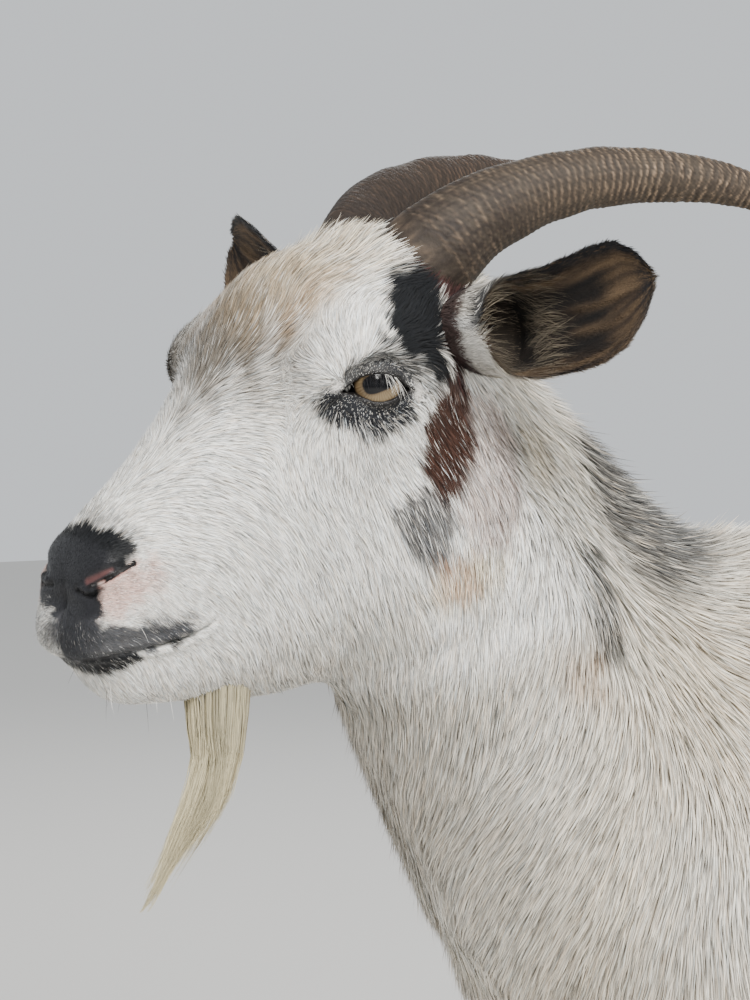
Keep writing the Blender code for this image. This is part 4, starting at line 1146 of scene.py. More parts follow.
BODY_LIE = (
    ((0, -150, 610), (0.0, 0.75, -0.6), 24, 0.72),
    ((95, -90, 430), (0.0, 0.15, -0.98), 25, 1.22),
    ((0, -30, 572), (0.1, 1.0, -0.1), 25, 1.36),
    ((0, 120, 560), (0.2, 1.0, -0.1), 25, 1.5),
    ((60, 60, 545), (0.5, 0.6, -0.6), 25, 1.5),
    ((60, 200, 545), (0.5, 0.6, -0.6), 25, 1.5),
    ((0, 320, 570), (0.1, 0.95, -0.3), 23, 1.5),
    ((120, 0, 420), (0.0, 0.35, -0.93), 27, 1.5),
    ((130, 150, 420), (0.0, 0.5, -0.85), 27, 1.5),
    ((95, 150, 300), (-0.4, 0.4, -0.8), 27, 1.5),
    ((0, 100, 268), (0.2, 1.0, 0.0), 20, 1.2),
    ((105, 240, 380), (0.0, 0.2, -0.97), 25, 1.5),
    ((100, 320, 470), (0.0, 0.25, -0.97), 23, 1.5),
    ((50, 400, 490), (0.1, 0.1, -1.0), 22, 1.36),
    ((0, -120, 310), (0.0, 0.4, -0.9), 22, 0.99),
    ((85, -80, 340), (0.0, 0.1, -1.0), 20, 1.22),
    ((66, -84, 270), (0.0, 0.1, -1.0), 14, 0.84),
    ((60, -90, 130), (0.0, 0.1, -1.0), 10, 0.66),
    ((60, -105, 40), (0.0, -0.1, -1.0), 9, 0.5),
    ((85, 310, 360), (0.0, 0.1, -1.0), 20, 1.29),
    ((75, 330, 270), (0.0, 0.3, -0.95), 15, 0.9),
    ((66, 365, 130), (0.0, 0.0, -1.0), 10, 0.66),
    ((66, 345, 40), (0.0, -0.1, -1.0), 9, 0.5),
    ((0, 400, 545), (0.0, 0.5, 0.85), 26, 1.09),
    ((15, 445, 610), (0.25, 0.45, 0.85), 32, 0.9),
    ((36, -249, 445), (-0.72, 0.11, -0.69), 19, 0.64),
    ((59, -241, 469), (-0.48, -0.41, -0.78), 18, 0.63),
    ((74, -211, 464), (-0.17, -0.6, -0.78), 19, 0.64),
    ((67, -232, 503), (-0.12, -0.44, -0.89), 18, 0.62),
    ((82, -186, 423), (-0.19, -0.33, -0.92), 20, 0.67),
    ((90, -170, 444), (0.17, -0.37, -0.91), 20, 0.67),
    ((32, -268, 479), (-0.41, 0.31, -0.86), 17, 0.62),
    ((20, -223, 386), (-0.64, 0.25, -0.73), 20, 0.69),
    ((49, -214, 390), (-0.55, 0.01, -0.84), 20, 0.69),
    ((75, -204, 502), (0.14, -0.53, -0.84), 18, 0.63),
    ((68, -153, 524), (0.39, 0.04, -0.92), 20, 0.64),
    ((78, -134, 497), (0.34, 0.32, -0.88), 21, 0.67),
    ((90, -147, 455), (0.34, -0.16, -0.93), 21, 0.69),
    ((69, -185, 376), (-0.36, 0.12, -0.92), 21, 0.71),
    ((98, -164, 388), (0.14, 0.01, -0.99), 22, 0.74),
    ((17, -250, 434), (-0.53, 0.22, -0.82), 19, 0.67),
    ((51, -262, 496), (-0.28, 0.03, -0.96), 17, 0.62),
    ((49, -237, 437), (-0.61, -0.14, -0.78), 19, 0.64),
    ((64, -219, 424), (-0.42, -0.3, -0.86), 19, 0.64),
    ((47, -211, 598), (0.35, -0.1, -0.9), 13, 0.55),
    ((60, -223, 572), (0.35, -0.4, -0.85), 15, 0.57),
    ((63, -244, 555), (0.1, -0.3, -0.95), 14, 0.57),
    ((58, -246, 581), (0.1, -0.25, -0.95), 12, 0.55),
    ((42, -191, 598), (0.5, -0.1, -0.85), 15, 0.57),
    ((54, -193, 570), (0.3, 0.3, -0.9), 17, 0.6),
    ((40, -171, 586), (-0.1, 0.85, -0.5), 18, 0.63),
    ((43, -161, 575), (-0.1, 0.85, -0.5), 18, 0.63),
    ((52, -164, 560), (0.1, 0.7, -0.7), 19, 0.63),
    ((54, -145, 550), (0.1, 0.85, -0.5), 19, 0.63),
    ((35, -111, 562), (0.0, 0.95, -0.3), 21, 0.69),
    ((60, -132, 535), (0.1, 0.9, -0.45), 20, 0.69),
    ((71, -129, 511), (0.2, 0.7, -0.65), 20, 0.69),
    ((68, -167, 528), (0.3, 0.4, -0.85), 19, 0.63),
    ((65, -203, 539), (0.2, -0.35, -0.9), 17, 0.6),
    ((72, -190, 516), (0.3, -0.05, -0.95), 19, 0.63),
    ((69, -219, 527), (0.2, -0.35, -0.9), 17, 0.6),
    ((51, -251, 609), (0.35, -0.1, -0.9), 11, 0.48),
    ((60, -265, 581), (0.1, 0.05, -1.0), 11, 0.48),
    ((57, -268, 547), (-0.1, 0.0, -1.0), 12, 0.52),
    ((21, -281, 494), (-0.15, 0.4, -0.9), 16, 0.6),
    ((44, -273, 504), (-0.3, 0.15, -0.95), 16, 0.6),
    ((18, -185, 618), (0.2, 0.5, -0.7), 20, 0.63),
    ((0, -205, 630), (0.0, 0.6, -0.7), 20, 0.63),
)


def lie_guides():
    """Every guide, for both sides, in the world: places, ways, lengths and widths."""
    places, ways, sizes = [], [], []
    for on_head, guides in ((True, HEAD_LIE), (False, BODY_LIE)):
        for place, way, length, width in guides:
            for mirror in ((1, 1, 1), (-1, 1, 1)):
                here, there = np.multiply(place, mirror), np.multiply(way, mirror)
                places.append(HEAD.world(here) if on_head else here * MM)
                ways.append(unit(HEAD.turn(there) if on_head else there))
                sizes.append((length, width))
    return np.array(places), np.array(ways), np.array(sizes)


def lie_at(points, normals):
    """The way the hair lies, and its length and width in mm, at points of the skin."""
    places, ways, sizes = lie_guides()
    way = np.empty_like(points)
    size = np.empty((len(points), 2))
    batch = 20000
    for start in range(0, len(points), batch):
        part = slice(start, start + batch)
        gap = np.linalg.norm(points[part, None, :] - places[None], axis=2)
        weight = 1.0 / (gap + 0.002) ** 4
        weight /= weight.sum(axis=1, keepdims=True)
        way[part] = weight @ ways
        size[part] = weight @ sizes
    way -= normals * np.sum(way * normals, axis=1, keepdims=True)
    return unit(way), size


# ---------------------------------------------------------------- tufts
# Tufts: the points of each one's path and the skin's normals there, its width and its height over the skin in
# metres, its colour, and its place on the OFBake map.
Tufts = namedtuple("Tufts", "path normal width lift colour chart")
# How wide a blade is at each step of its path, for blades of two and of three steps.
BLADE_SHAPES = {3: (0.75, 1.0, 0.0), 4: (0.7, 1.0, 0.8, 0.0)}


def bake_map(mesh, chart, spot, corners):
    """Lays each blade's small patch of the OFBake map round its own place on the chart."""
    uv = (chart[:, None] + spot[None]).reshape(-1, 2)
    layer = mesh.uv_layers.new(name="OFBake")
    layer.data.foreach_set("uv", uv[corners.ravel()].astype(np.float32).ravel())


def tuft_mesh(name, tufts):
    """Thin pointed blades, each rolled a little, with their colours, painted shade at their roots, their bake
    patches and soft shading.
    """
    path, normal = tufts.path, tufts.normal
    count, rows = path.shape[:2]
    ahead = np.gradient(path, axis=1)
    across = unit(np.cross(normal, ahead))
    roll = np.radians(RANDOM.normal(0, 20, count))[:, None, None]
    across = across * np.cos(roll) + normal * np.sin(roll)
    own = unit(np.cross(ahead, across))
    shape = np.array(BLADE_SHAPES[rows])
    half = (tufts.width[:, None] * shape[None] * 0.5)[..., None] * across
    raised = path + normal * tufts.lift[..., None]
    body = rows - 1
    each = 2 * body + 1
    points = np.empty((count, each, 3))
    points[:, 0:-1:2] = (raised - half)[:, :-1]
    points[:, 1:-1:2] = (raised + half)[:, :-1]
    points[:, -1] = raised[:, -1]
    shading = unit(0.72 * normal + 0.28 * own)
    facing = np.empty((count, each, 3))
    facing[:, 0:-1:2] = (shading - 0.22 * across)[:, :-1]
    facing[:, 1:-1:2] = (shading + 0.22 * across)[:, :-1]
    facing[:, -1] = shading[:, -1]
    faces = []
    for row in range(body - 1):
        low, high = row * 2, row * 2 + 2
        faces.append((low, high + 1, low + 1))
        faces.append((low, high, high + 1))
    faces.append((each - 3, each - 1, each - 2))
    everything = (np.array(faces)[None] + np.arange(count)[:, None, None] * each).reshape(-1, 3)
    mesh = mesh_from(name, points.reshape(-1, 3), everything)
    smooth_shaded(mesh)
    mesh.normals_split_custom_set_from_vertices(unit(facing).reshape(-1, 3).tolist())
    # Painted shade: each blade is darker at its root, under the blades that lie over it, and a little lighter
    # at its tip.
    shade = np.append(np.repeat(0.68 + 0.36 * np.arange(body) / body, 2), 1.08)
    tint(mesh, np.clip((tufts.colour[:, None] * shade[None, :, None]).reshape(-1, 3), 0, 1))
    beside = np.append(np.tile((-0.5, 0.5), body), 0.0)
    along = np.append(np.repeat(np.arange(body), 2), body) / body - 0.5
    bake_map(mesh, tufts.chart, np.column_stack((beside, along)) * OFBAKE_PATCH, everything)
    return mesh


def scattered(mesh, density):
    """Random roots on a mesh, that many per square metre at its points: their triangles and corner shares."""
    points, corners = mesh_arrays(mesh)
    a, b, c = points[corners[:, 0]], points[corners[:, 1]], points[corners[:, 2]]
    area = np.linalg.norm(np.cross(b - a, c - a), axis=1) / 2
    load = area * density[corners].mean(axis=1)
    total = int(load.sum())
    ends = np.cumsum(load)
    chosen = np.searchsorted(ends, (np.arange(total) + RANDOM.random(total)) * ends[-1] / total)
    chosen = np.minimum(chosen, len(corners) - 1)
    u, v = np.sqrt(RANDOM.random(total)), RANDOM.random(total)
    share = np.column_stack((1 - u, u * (1 - v), u * v))
    return corners[chosen], share


def between(values, corners, share):
    """Values at roots from the values at the corners of their triangles."""
    return np.einsum("nk,nk...->n...", share, values[corners])


# Ground: what the tufts lie on, as a surface, and the lie of the hair and the normal on its triangles.
Ground = namedtuple("Ground", "surface ways normals")


def traced(roots, ways, normals, lengths, steps, ground):
    """Paths that start at the roots and follow the lie of the hair over the skin."""
    path, facing = [roots], [normals]
    here, way = roots, ways
    for _ in range(steps):
        there = here + way * (lengths / steps)[:, None]
        hits = [ground.surface.find_nearest(point) for point in there.tolist()]
        here = np.array([hit[0] for hit in hits])
        index = np.array([hit[2] for hit in hits])
        normal = ground.normals[index]
        turn = ground.ways[index]
        turn = turn + (way - turn) * 0.5
        way = unit(turn - normal * np.sum(turn * normal, axis=1, keepdims=True))
        path.append(here)
        facing.append(normal)
    return np.stack(path, axis=1), np.stack(facing, axis=1)


def hair_colour(places):
    """The marking at each place, a little different for each tuft and each clump of them."""
    chance = RANDOM.random(len(places))
    colours = markings(places, chance)
    clump = layered(places, ((0.10, 0.0028, 61), (0.07, 0.007, 62), (0.04, 0.022, 63)))
    shade = 1.04 + clump + HAIR_SPREAD * RANDOM.normal(size=len(places))
    shade = np.where(RANDOM.random(len(places)) < DARK_HAIRS, shade * DARK_HAIR_SHADE, shade)
    warm = 1 + 0.035 * RANDOM.normal(size=len(places))
    return colours * np.clip(shade, 0.35, 1.4)[:, None] * np.column_stack((warm, warm * 0 + 1, 2 - warm))


# The parts of the coat, and where they part: the head's back and underside in mm on its own axes, and the
# legs' tops, the neck's back and the middle of the trunk in metres.
KINDS = ("head", "neck", "trunk", "foreleg", "hindleg")
PART_NAMES = [kind + side for kind in KINDS for side in ("_left", "_right")]
HEAD_BACK, HEAD_UNDER = -70, -128
LEG_TOP, NECK_BACK, TRUNK_MIDDLE = 0.27, -0.125, 0.12


def part_of(points):
    """The number in PART_NAMES of the part of the coat that each root belongs to."""
    place = HEAD.place(points)
    head = (place[:, 1] > HEAD_BACK) & (place[:, 2] > HEAD_UNDER)
    leg = points[:, 2] < LEG_TOP
    neck = (points[:, 1] < NECK_BACK) & ~head & ~leg
    front = points[:, 1] < TRUNK_MIDDLE
    kind = np.full(len(points), KINDS.index("trunk"))
    kind[neck] = KINDS.index("neck")
    kind[leg & front] = KINDS.index("foreleg")
    kind[leg & ~front] = KINDS.index("hindleg")
    kind[head] = KINDS.index("head")
    return kind * 2 + (points[:, 0] < 0)


def chart_of(points, part):
    """Each root's place on an unwrapping of the skin: round and along its own part, from 0 to 1."""
    kind = part // 2
    place = HEAD.place(points)
    side, back, up = np.abs(points[:, 0]), points[:, 1], points[:, 2]
    spread = (
        (np.arctan2(place[:, 2] + 30, np.abs(place[:, 0])), place[:, 1]),
        (np.arctan2(back + 0.22 + (up - 0.5) * 0.8, side), up),
        (np.arctan2(up - 0.42, side), back),
        (np.arctan2(back + 0.09, side - 0.06), up),
        (np.arctan2(back - 0.355, side - 0.066), up),
    )
    chart = np.zeros((len(points), 2))
    for own_kind, (around, along) in enumerate(spread):
        chosen = kind == own_kind
        if not chosen.any():
            continue
        for k, values in enumerate((around[chosen], along[chosen])):
            low, high = values.min(), values.max()
            chart[chosen, k] = 0.01 + 0.98 * (values - low) / max(high - low, 1e-9)
    return chart


def bare_nose(fold):
    """1 on the smooth leather round the nostrils."""
    high = ease(117, 124, fold[:, 1]) * (1 - ease(-11, -6, fold[:, 2])) * ease(-1.5, 0.0, over_wing(fold))
    low = ease(131, 134, fold[:, 1]) * ease(-37, -33, fold[:, 2]) * (1 - ease(-12, -8, fold[:, 2]))
    return np.maximum(high, low)


def growth(points):
    """1 where hair grows, falling to 0 on the eyeballs, the lids' edges, the nostrils and the lips' line."""
    fold = folded(HEAD.place(points))
    grows = ease(1.4, 2.6, to_path(fold, NOSTRIL)[0]) * ease(0.7, 1.4, to_path(fold, MOUTH)[0])
    grows *= ease(1.6, 2.8, to_path(fold, LINING)[0])
    for eye in EYE_SIDES:
        past, out = past_opening(eye, points)
        grows *= np.where(out > 0, ease(0.5, 1.2, past), 1.0)
    grows *= 1 - 0.93 * bare_nose(fold)
    grows *= 1 - 0.45 * lump(fold, (28, 124, -29), (9, 10, 6))
    on_foot = ease(0.020, 0.030, points[:, 2])
    return grows * on_foot


def cropped(points):
    """How much shorter the hair is close to the eyes, the nostrils and the lips, as a factor."""
    fold = folded(HEAD.place(points))
    factor = 0.5 + 0.5 * ease(1, 7, to_path(fold, MOUTH)[0])
    factor = factor * (0.6 + 0.4 * ease(2, 9, to_path(fold, NOSTRIL)[0]))
    factor *= 1 - 0.5 * bare_nose(fold)
    for eye in EYE_SIDES:
        past, out = past_opening(eye, points)
        factor *= np.where(out > -2, 0.38 + 0.62 * ease(0.5, 8.0, past), 1.0)
    return factor


def coat_ground(meshes):
    """The surface of the skin and the hooves, with the lie of the hair over it."""
    points, triangles, ways, normals = [], [], [], []
    for mesh in meshes:
        own_points, own_triangles = mesh_arrays(mesh)
        own_normals = get_normals(mesh)
        triangles.append(own_triangles + sum(len(each) for each in points))
        points.append(own_points)
        normals.append(own_normals)
        ways.append(lie_at(own_points, own_normals)[0])
    triangles = np.concatenate(triangles)
    surface = BVHTree.FromPolygons(np.concatenate(points).tolist(), triangles.tolist())
    means = [np.concatenate(each)[triangles].mean(axis=1) for each in (ways, normals)]
    return Ground(surface, means[0], unit(means[1]))


def grow_coat(skin, hooves):
    """The coat over the skin, with a fringe over the tops of the hooves, as meshes of at most
    COAT_PIECE_TRIANGLES triangles each.
    """
    points, normals = get_points(skin), get_normals(skin)
    way, size = lie_at(points, normals)
    crop = cropped(points)
    kind = part_of(points) // 2
    length, width = size[:, 0] * crop, size[:, 1] * np.sqrt(crop) * np.array(COAT_WIDTHS)[kind]
    depth = coat_depth(points) / MM * (0.5 + 0.5 * crop)
    layers = np.array(COAT_LAYERS)[kind]
    thin = 1.0
    density = layers / (length * width) * growth(points) * thin / (MM * MM)
    corners, share = scattered(skin, density)
    roots = between(points, corners, share)
    facing = unit(between(normals, corners, share))
    lie = between(way, corners, share)
    own_length = between(length, corners, share)
    wave = layered(roots, ((0.10, 0.0035, 51), (0.10, 0.009, 52), (0.16, 0.030, 53)))
    wave *= np.interp(own_length, (4, 10, 22), (0.5, 1.0, 1.25))
    astray = (wave + np.radians(RANDOM.normal(0, 7, len(roots))))[:, None]
    lie = lie * np.cos(astray) + np.cross(facing, lie) * np.sin(astray)
    lie = unit(lie - facing * np.sum(lie * facing, axis=1, keepdims=True))
    own_length = own_length * RANDOM.uniform(0.75, 1.2, len(roots))
    own_width = between(width, corners, share) * RANDOM.uniform(0.7, 1.25, len(roots))
    own_depth = between(depth, corners, share) * (1 + 0.16 * wobble(roots, 0.006, 54))
    ground = coat_ground([skin] + hooves)
    part = part_of(roots)
    chart = chart_of(roots, part)
    pieces = []
    for own_part, name in enumerate(PART_NAMES):
        mine = np.flatnonzero(part == own_part)
        if len(mine) == 0:
            continue
        steps = COAT_STEPS[own_part // 2]
        path, normal = traced(roots[mine], lie[mine], facing[mine], own_length[mine] * MM, steps, ground)
        colour = hair_colour(0.25 * path[:, -2] + 0.75 * path[:, -1])
        rise = np.linspace(0, 1, steps + 1)[None] ** 1.1
        loose = RANDOM.uniform(0.6, 1.15, (len(mine), 1))
        loose = loose * np.where(RANDOM.random((len(mine), 1)) < 0.05, 1.5, 1.0)
        lift = own_depth[mine, None] * rise * loose - 0.15 * (1 - rise)
        room = COAT_PIECE_TRIANGLES // (2 * steps - 1)
        order = RANDOM.permutation(len(mine))
        for k in range(0, len(mine), room):
            pick = order[k:k + room]
            tufts = Tufts(path[pick], normal[pick], own_width[mine][pick] * MM, lift[pick] * MM,
                          colour[pick], chart[mine][pick])
            pieces.append(tuft_mesh(f"coat_{name}_{k // room + 1}", tufts))
    return pieces


# ---------------------------------------------------------------- horns, hooves, beard, lashes
HORN_LENGTH = 245.0
HORN_BASE = (27.5, -67.0, 33.0)
# How steeply each horn rises and splays at its root, in degrees, how much of that it loses by its tip, and
# the power by which it loses it.
HORN_RISE = {"left": (43.0, 73.0, 0.64), "right": (43.0, 51.0, 0.50)}
HORN_SPLAY = (31.0, 24.0, 0.5)
HORN_DEPTH = ((0, 20.5), (0.1, 17.2), (0.25, 13.6), (0.5, 10.4), (0.7, 7.4), (0.9, 3.8), (1, 1.4))
HORN_SUNK, HORN_SUNK_RINGS = 12.0, 6  # how far its root runs into the head, in mm, and over how many rings
HORN_STEPS = 13
HORN_RINGS, HORN_AROUND = 430, 84
RING_STEP = 3.9
# The horn's own colour and the pale one of its rings. The right horn, on the far side of the head, is painted
# darker, as painted shade.
HORN_COLOURS = {
    "left": (linear(62, 54, 45), linear(140, 118, 96)),
    "right": (linear(46, 38, 31), linear(92, 72, 57)),
}


def falling(t, base, fall, power):
    """An angle that starts at its base and falls away along the horn, in radians."""
    return np.radians(base - fall * t**power)


def horn_line(side, sign):
    """The middle of the horn from root to tip, along the part's own path, and the way it runs."""
    base = HEAD.world((sign * HORN_BASE[0], HORN_BASE[1], HORN_BASE[2]))
    stations = np.arange(HORN_STEPS + 1) / HORN_STEPS
    rise = falling(stations, *HORN_RISE[side])
    splay = falling(stations, *HORN_SPLAY)
    way = np.column_stack((sign * np.sin(splay) * np.cos(rise), np.cos(splay) * np.cos(rise), np.sin(rise)))
    steps = np.cumsum(way[:-1] * (HORN_LENGTH * MM / HORN_STEPS), axis=0)
    stops = base + np.concatenate((np.zeros((1, 3)), steps))
    t = np.linspace(0, 1, HORN_RINGS)
    line = np.column_stack([np.interp(t, stations, stops[:, k]) for k in range(3)])
    smoothing = np.hanning(HORN_RINGS // HORN_STEPS * 2 + 1)
    smoothing = smoothing / smoothing.sum()
    padding = len(smoothing) // 2
    before, after = 2 * line[:1] - line[padding:0:-1], 2 * line[-1:] - line[-2:-padding - 2:-1]
    padded = np.concatenate((before, line, after))
    line = np.column_stack([np.convolve(padded[:, k], smoothing, "valid") for k in range(3)])
    run = unit(np.gradient(line, axis=0))
    sunk = HORN_SUNK * MM * np.linspace(1, 0, HORN_SUNK_RINGS)
    line[:HORN_SUNK_RINGS] -= run[0] * sunk[:, None]
    return line, run


def horn_mesh(side, sign):
    """A ringed horn, its rings deepest towards the root."""
    line, run = horn_line(side, sign)
    t = np.linspace(0, 1, HORN_RINGS)
    turn = np.linspace(0, 2 * math.pi, HORN_AROUND, endpoint=False)
    across = unit(np.cross(run, np.array((0.0, 0.0, 1.0))))
    deep = unit(np.cross(across, run))
    half = np.interp(t, *zip(*HORN_DEPTH))
    flat = 0.70 + 0.22 * np.minimum(1, 2 * t)
    made = np.random.default_rng(8 if sign > 0 else 9)
    length = t * HORN_LENGTH
    spacing = 1 + 0.22 * np.sin(length / 23.0 + made.uniform(0, 6)) + 0.15 * np.sin(length / 9.0)
    phase = np.cumsum(np.gradient(length) / (RING_STEP * spacing))[:, None]
    lean = 0.5 * np.sin(turn + made.uniform(0, 6)) + 0.25 * np.sin(2 * turn + made.uniform(0, 6))
    unrolled = np.broadcast_arrays(length[:, None], 12 * np.cos(turn)[None], 12 * np.sin(turn)[None])
    spot = np.stack(unrolled, axis=-1).reshape(-1, 3)

    def field(size, seed, stretch=1.0):
        """An uneven field over the horn, its waves drawn out along it by stretch."""
        return wobble(spot / np.array((stretch, 1, 1)), size, seed).reshape(HORN_RINGS, HORN_AROUND)

    uneven, fine, broad = field(7.0, 31 + sign), field(2.0, 33 + sign), field(26.0, 35 + sign)
    patchy = np.clip(0.7 + 0.6 * field(15.0, 37 + sign), 0.1, 1.2)
    bark = np.clip(0.5 + 0.5 * field(1.4, 39, stretch=4.0), 0, 1)
    beat = (phase + lean[None] + 0.16 * uneven) % 1.0
    groove = dome(np.minimum(beat, 1 - beat), 0.20) * np.clip(0.65 + 0.5 * uneven, 0.15, 1)
    ringed = 0.15 + 0.75 * ease(0.22, 0.46, t) * (1 - 0.5 * ease(0.70, 1.0, t))
    strength = ringed[:, None] * patchy
    off = strength * (-0.60 * groove + 0.22 * uneven) + 0.14 * fine + 0.35 * broad
    keel = 0.06 * np.cos(turn) ** 8
    depth = half[:, None] * (1 + keel) + off
    ring = (across[:, None] * (depth * flat[:, None] * np.sin(turn))[..., None]
            + deep[:, None] * (depth * np.cos(turn))[..., None])
    tip = (line[-1] + run[-1] * 0.0008)[None]
    points = np.concatenate(((line[:, None] + ring * MM).reshape(-1, 3), tip))
    last = (HORN_RINGS - 1) * HORN_AROUND
    cap = [(last + k, last + (k + 1) % HORN_AROUND, last + HORN_AROUND) for k in range(HORN_AROUND)]
    quads = grid_faces(HORN_RINGS, HORN_AROUND, closed=True)
    mesh = mesh_from("horn_" + side, points, np.concatenate((quads_to_triangles(quads), cap)))
    smooth_shaded(mesh)

    base, pale = HORN_COLOURS[side]
    dark = linear(38, 31, 27)
    crest = dome(np.abs(beat - 0.55), 0.20) * np.clip(0.45 + 0.75 * fine, 0, 1) * (0.35 + 0.65 * strength)
    by_root = (1 - ease(0.10, 0.34, t))[:, None]
    colours = blend(base, dark, 0.36 * np.clip(0.5 + 0.5 * broad, 0, 1))
    colours = blend(colours, pale, 0.75 * crest)
    colours = blend(colours, dark, 0.70 * groove * strength)
    colours = blend(colours, dark, 0.85 * by_root * bark)
    colours = colours * (1 + 0.20 * fine)[..., None]
    colours = np.clip(blend(colours, linear(62, 50, 42), 0.45 * ease(0.45, 1.0, t)[:, None]), 0, 1)
    tint(mesh, np.concatenate((colours.reshape(-1, 3), colours[-1, :1])))
    return mesh


def softened_copy(node, voxel, rounds):
    """A copy of a CAD node with its facets softened."""
    mesh = voxelled(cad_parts[node].data.copy(), voxel)
    set_points(mesh, Web(mesh).soften(get_points(mesh), rounds, 0.4))
    smooth_shaded(mesh)
    return mesh


def hoof_mesh(node):
    """A hoof or a dewclaw, darkest by the floor and ringed like the growth of horn."""
    mesh = softened_copy(node, HOOF_VOXEL, 5)
    points = get_points(mesh)
    rings = 0.5 + 0.5 * np.sin(points[:, 2] / MM * 1.9 + 0.8 * wobble(points, 0.012, 71))
    grain = 1 + 0.16 * wobble(points / np.array((1, 1, 6)), 0.0016, 72)
    shade = blend(linear(52, 45, 39), linear(84, 73, 62), ease(0.0, 0.03, points[:, 2]))
    tint(mesh, shade * ((0.82 + 0.22 * rings) * grain)[:, None])
    return mesh


def strand_mesh(name, path, widths, colours):
    """Free strands along their paths: thin three-sided rods that taper to their tips."""
    count, rows = path.shape[:2]
    t = np.linspace(0, 1, rows)
    ahead = np.gradient(path, axis=1)
    beside = unit(np.cross(ahead, np.array((0.31, 0.17, 0.93))))
    over = unit(np.cross(beside, ahead))
    taper = np.interp(t, (0, 0.5, 1), (1.0, 0.85, 0.12))
    half = widths[:, None] * taper[None] * 0.5
    corners = []
    for k in range(3):
        angle = 2 * math.pi * k / 3
        corners.append(path + (beside * math.cos(angle) + over * math.sin(angle)) * half[..., None])
    points = np.stack(corners, axis=2)
    each = rows * 3
    faces = quads_to_triangles(grid_faces(rows, 3, closed=True))
    everything = (faces[None] + np.arange(count)[:, None, None] * each).reshape(-1, 3)
    mesh = mesh_from(name, points.reshape(-1, 3), everything)
    smooth_shaded(mesh)
    # Painted shade: each strand is darker towards its root.
    shade = np.repeat(0.82 + 0.22 * t, 3)
    tint(mesh, np.clip((colours[:, None] * shade[None, :, None]).reshape(-1, 3), 0, 1))
    low, high = path[:, 0].min(axis=0), path[:, 0].max(axis=0)
    chart = 0.02 + 0.96 * ((path[:, 0] - low) / np.maximum(high - low, 1e-9))[:, :2]
    spot = np.column_stack((np.tile((-0.5, 0.0, 0.5), rows), np.repeat(t - 0.5, 3))) * OFBAKE_PATCH
    bake_map(mesh, chart, spot, everything)
    return mesh


# The part's own plan of the beard: back and up on the body before centring, half depth and half width, in mm.
BEARD_PLAN = (
    (-336, 547, 14.5, 9.5), (-338, 535, 15.0, 10.0), (-340, 520, 14.5, 10.0), (-339.5, 500, 13.5, 8.5),
    (-338.5, 484, 12.5, 7.5), (-344, 466, 12.0, 7.0), (-355.5, 449, 10.5, 6.0), (-368, 433, 7.0, 4.0),
    (-374.5, 424, 2.5, 2.0),
)
PLAN_EYES = (0.0, -299.0, 636.0)
BEARD_STRANDS, BEARD_QUICK_STRANDS = 2300, 800
BEARD_LOCKS = 26
BEARD_POINTS = 9  # along each strand


def beard_mesh():
    """Long fine hair under the chin, gathered into locks along the part's own beard."""
    made = np.random.default_rng(77)
    count = BEARD_STRANDS
    back, up, deep, wide = np.array(BEARD_PLAN).T
    shift = HEAD.middle / MM - np.array(PLAN_EYES)
    station = np.linspace(0, 1, len(back))
    lock = made.integers(0, BEARD_LOCKS, count)
    lock_way = np.sqrt(made.random(BEARD_LOCKS)) * 0.98
    lock_turn = made.uniform(0, 2 * math.pi, BEARD_LOCKS)
    lock_end = made.uniform(0.62, 1.02, BEARD_LOCKS)
    off_deep = lock_way[lock] * np.cos(lock_turn[lock]) + made.normal(0, 0.16, count)
    off_wide = lock_way[lock] * np.sin(lock_turn[lock]) + made.normal(0, 0.16, count)
    size = np.maximum(np.hypot(off_deep, off_wide), 1.0)
    off_deep, off_wide = off_deep / size, off_wide / size
    start = made.uniform(0.0, 0.10, count)
    shorter = 0.25 * np.hypot(off_deep, off_wide) ** 2
    end = np.clip(lock_end[lock] + made.normal(0, 0.05, count) - shorter, 0.3, 1.06)
    t = start[:, None] + (end - start)[:, None] * np.linspace(0, 1, BEARD_POINTS)[None]
    wave = 0.9 * np.sin(9 * t + made.uniform(0, 6, BEARD_LOCKS)[lock][:, None])
    wave = (wave + 0.35 * np.sin(21 * t + lock[:, None])) * (0.3 + t)
    gather = 1.05 - 0.12 * ease(0.2, 1.0, t)
    x = off_wide[:, None] * np.interp(t, station, wide) * gather + 0.6 * wave
    y = np.interp(t, station, back) + off_deep[:, None] * np.interp(t, station, deep) * gather + wave
    z = np.interp(t, station, up)
    path = np.stack((x, y, z), axis=-1) + shift
    shade = 1 + 0.17 * made.normal(size=count) + 0.13 * made.normal(size=BEARD_LOCKS)[lock]
    # The strands that end high, up under the chin, are darker as painted shade; half of those at the back of
    # the beard are darker too.
    darker_strands = 0.55 * (1 - ease(0.05, 0.35, end)) + 0.5 * (off_deep > 0.35) * (made.random(count) < 0.5)
    colours = blend(linear(188, 178, 146), linear(126, 108, 76), darker_strands) * shade[:, None]
    widths = made.uniform(0.45, 0.75, count) * MM
    return strand_mesh("beard_hair", path * MM, widths, np.clip(colours, 0, 1))


WHISKERS = 34
WHISKER_LENGTH = (4, 10)
WHISKER_WIDTH = 0.17
LASHES = 84
LASH_WIDTH = 0.16
WHITE_LASH_LENGTH, DARK_LASH_LENGTH = (6.0, 9.5), (3.0, 6.0)
STIFF_POINTS = 6  # along each whisker and each lash


def stiff_hairs(name, starts, ways, lengths, width, sag, colours):
    """Single hairs that stand on the skin and bow a little by their sag."""
    t = np.linspace(0, 1, STIFF_POINTS)
    path = starts[:, None] + ways[:, None] * (lengths[:, None] * t[None])[..., None]
    path = path + sag * (lengths[:, None] * t[None] ** 2)[..., None]
    return strand_mesh(name, path, np.full(len(starts), width * MM), colours)


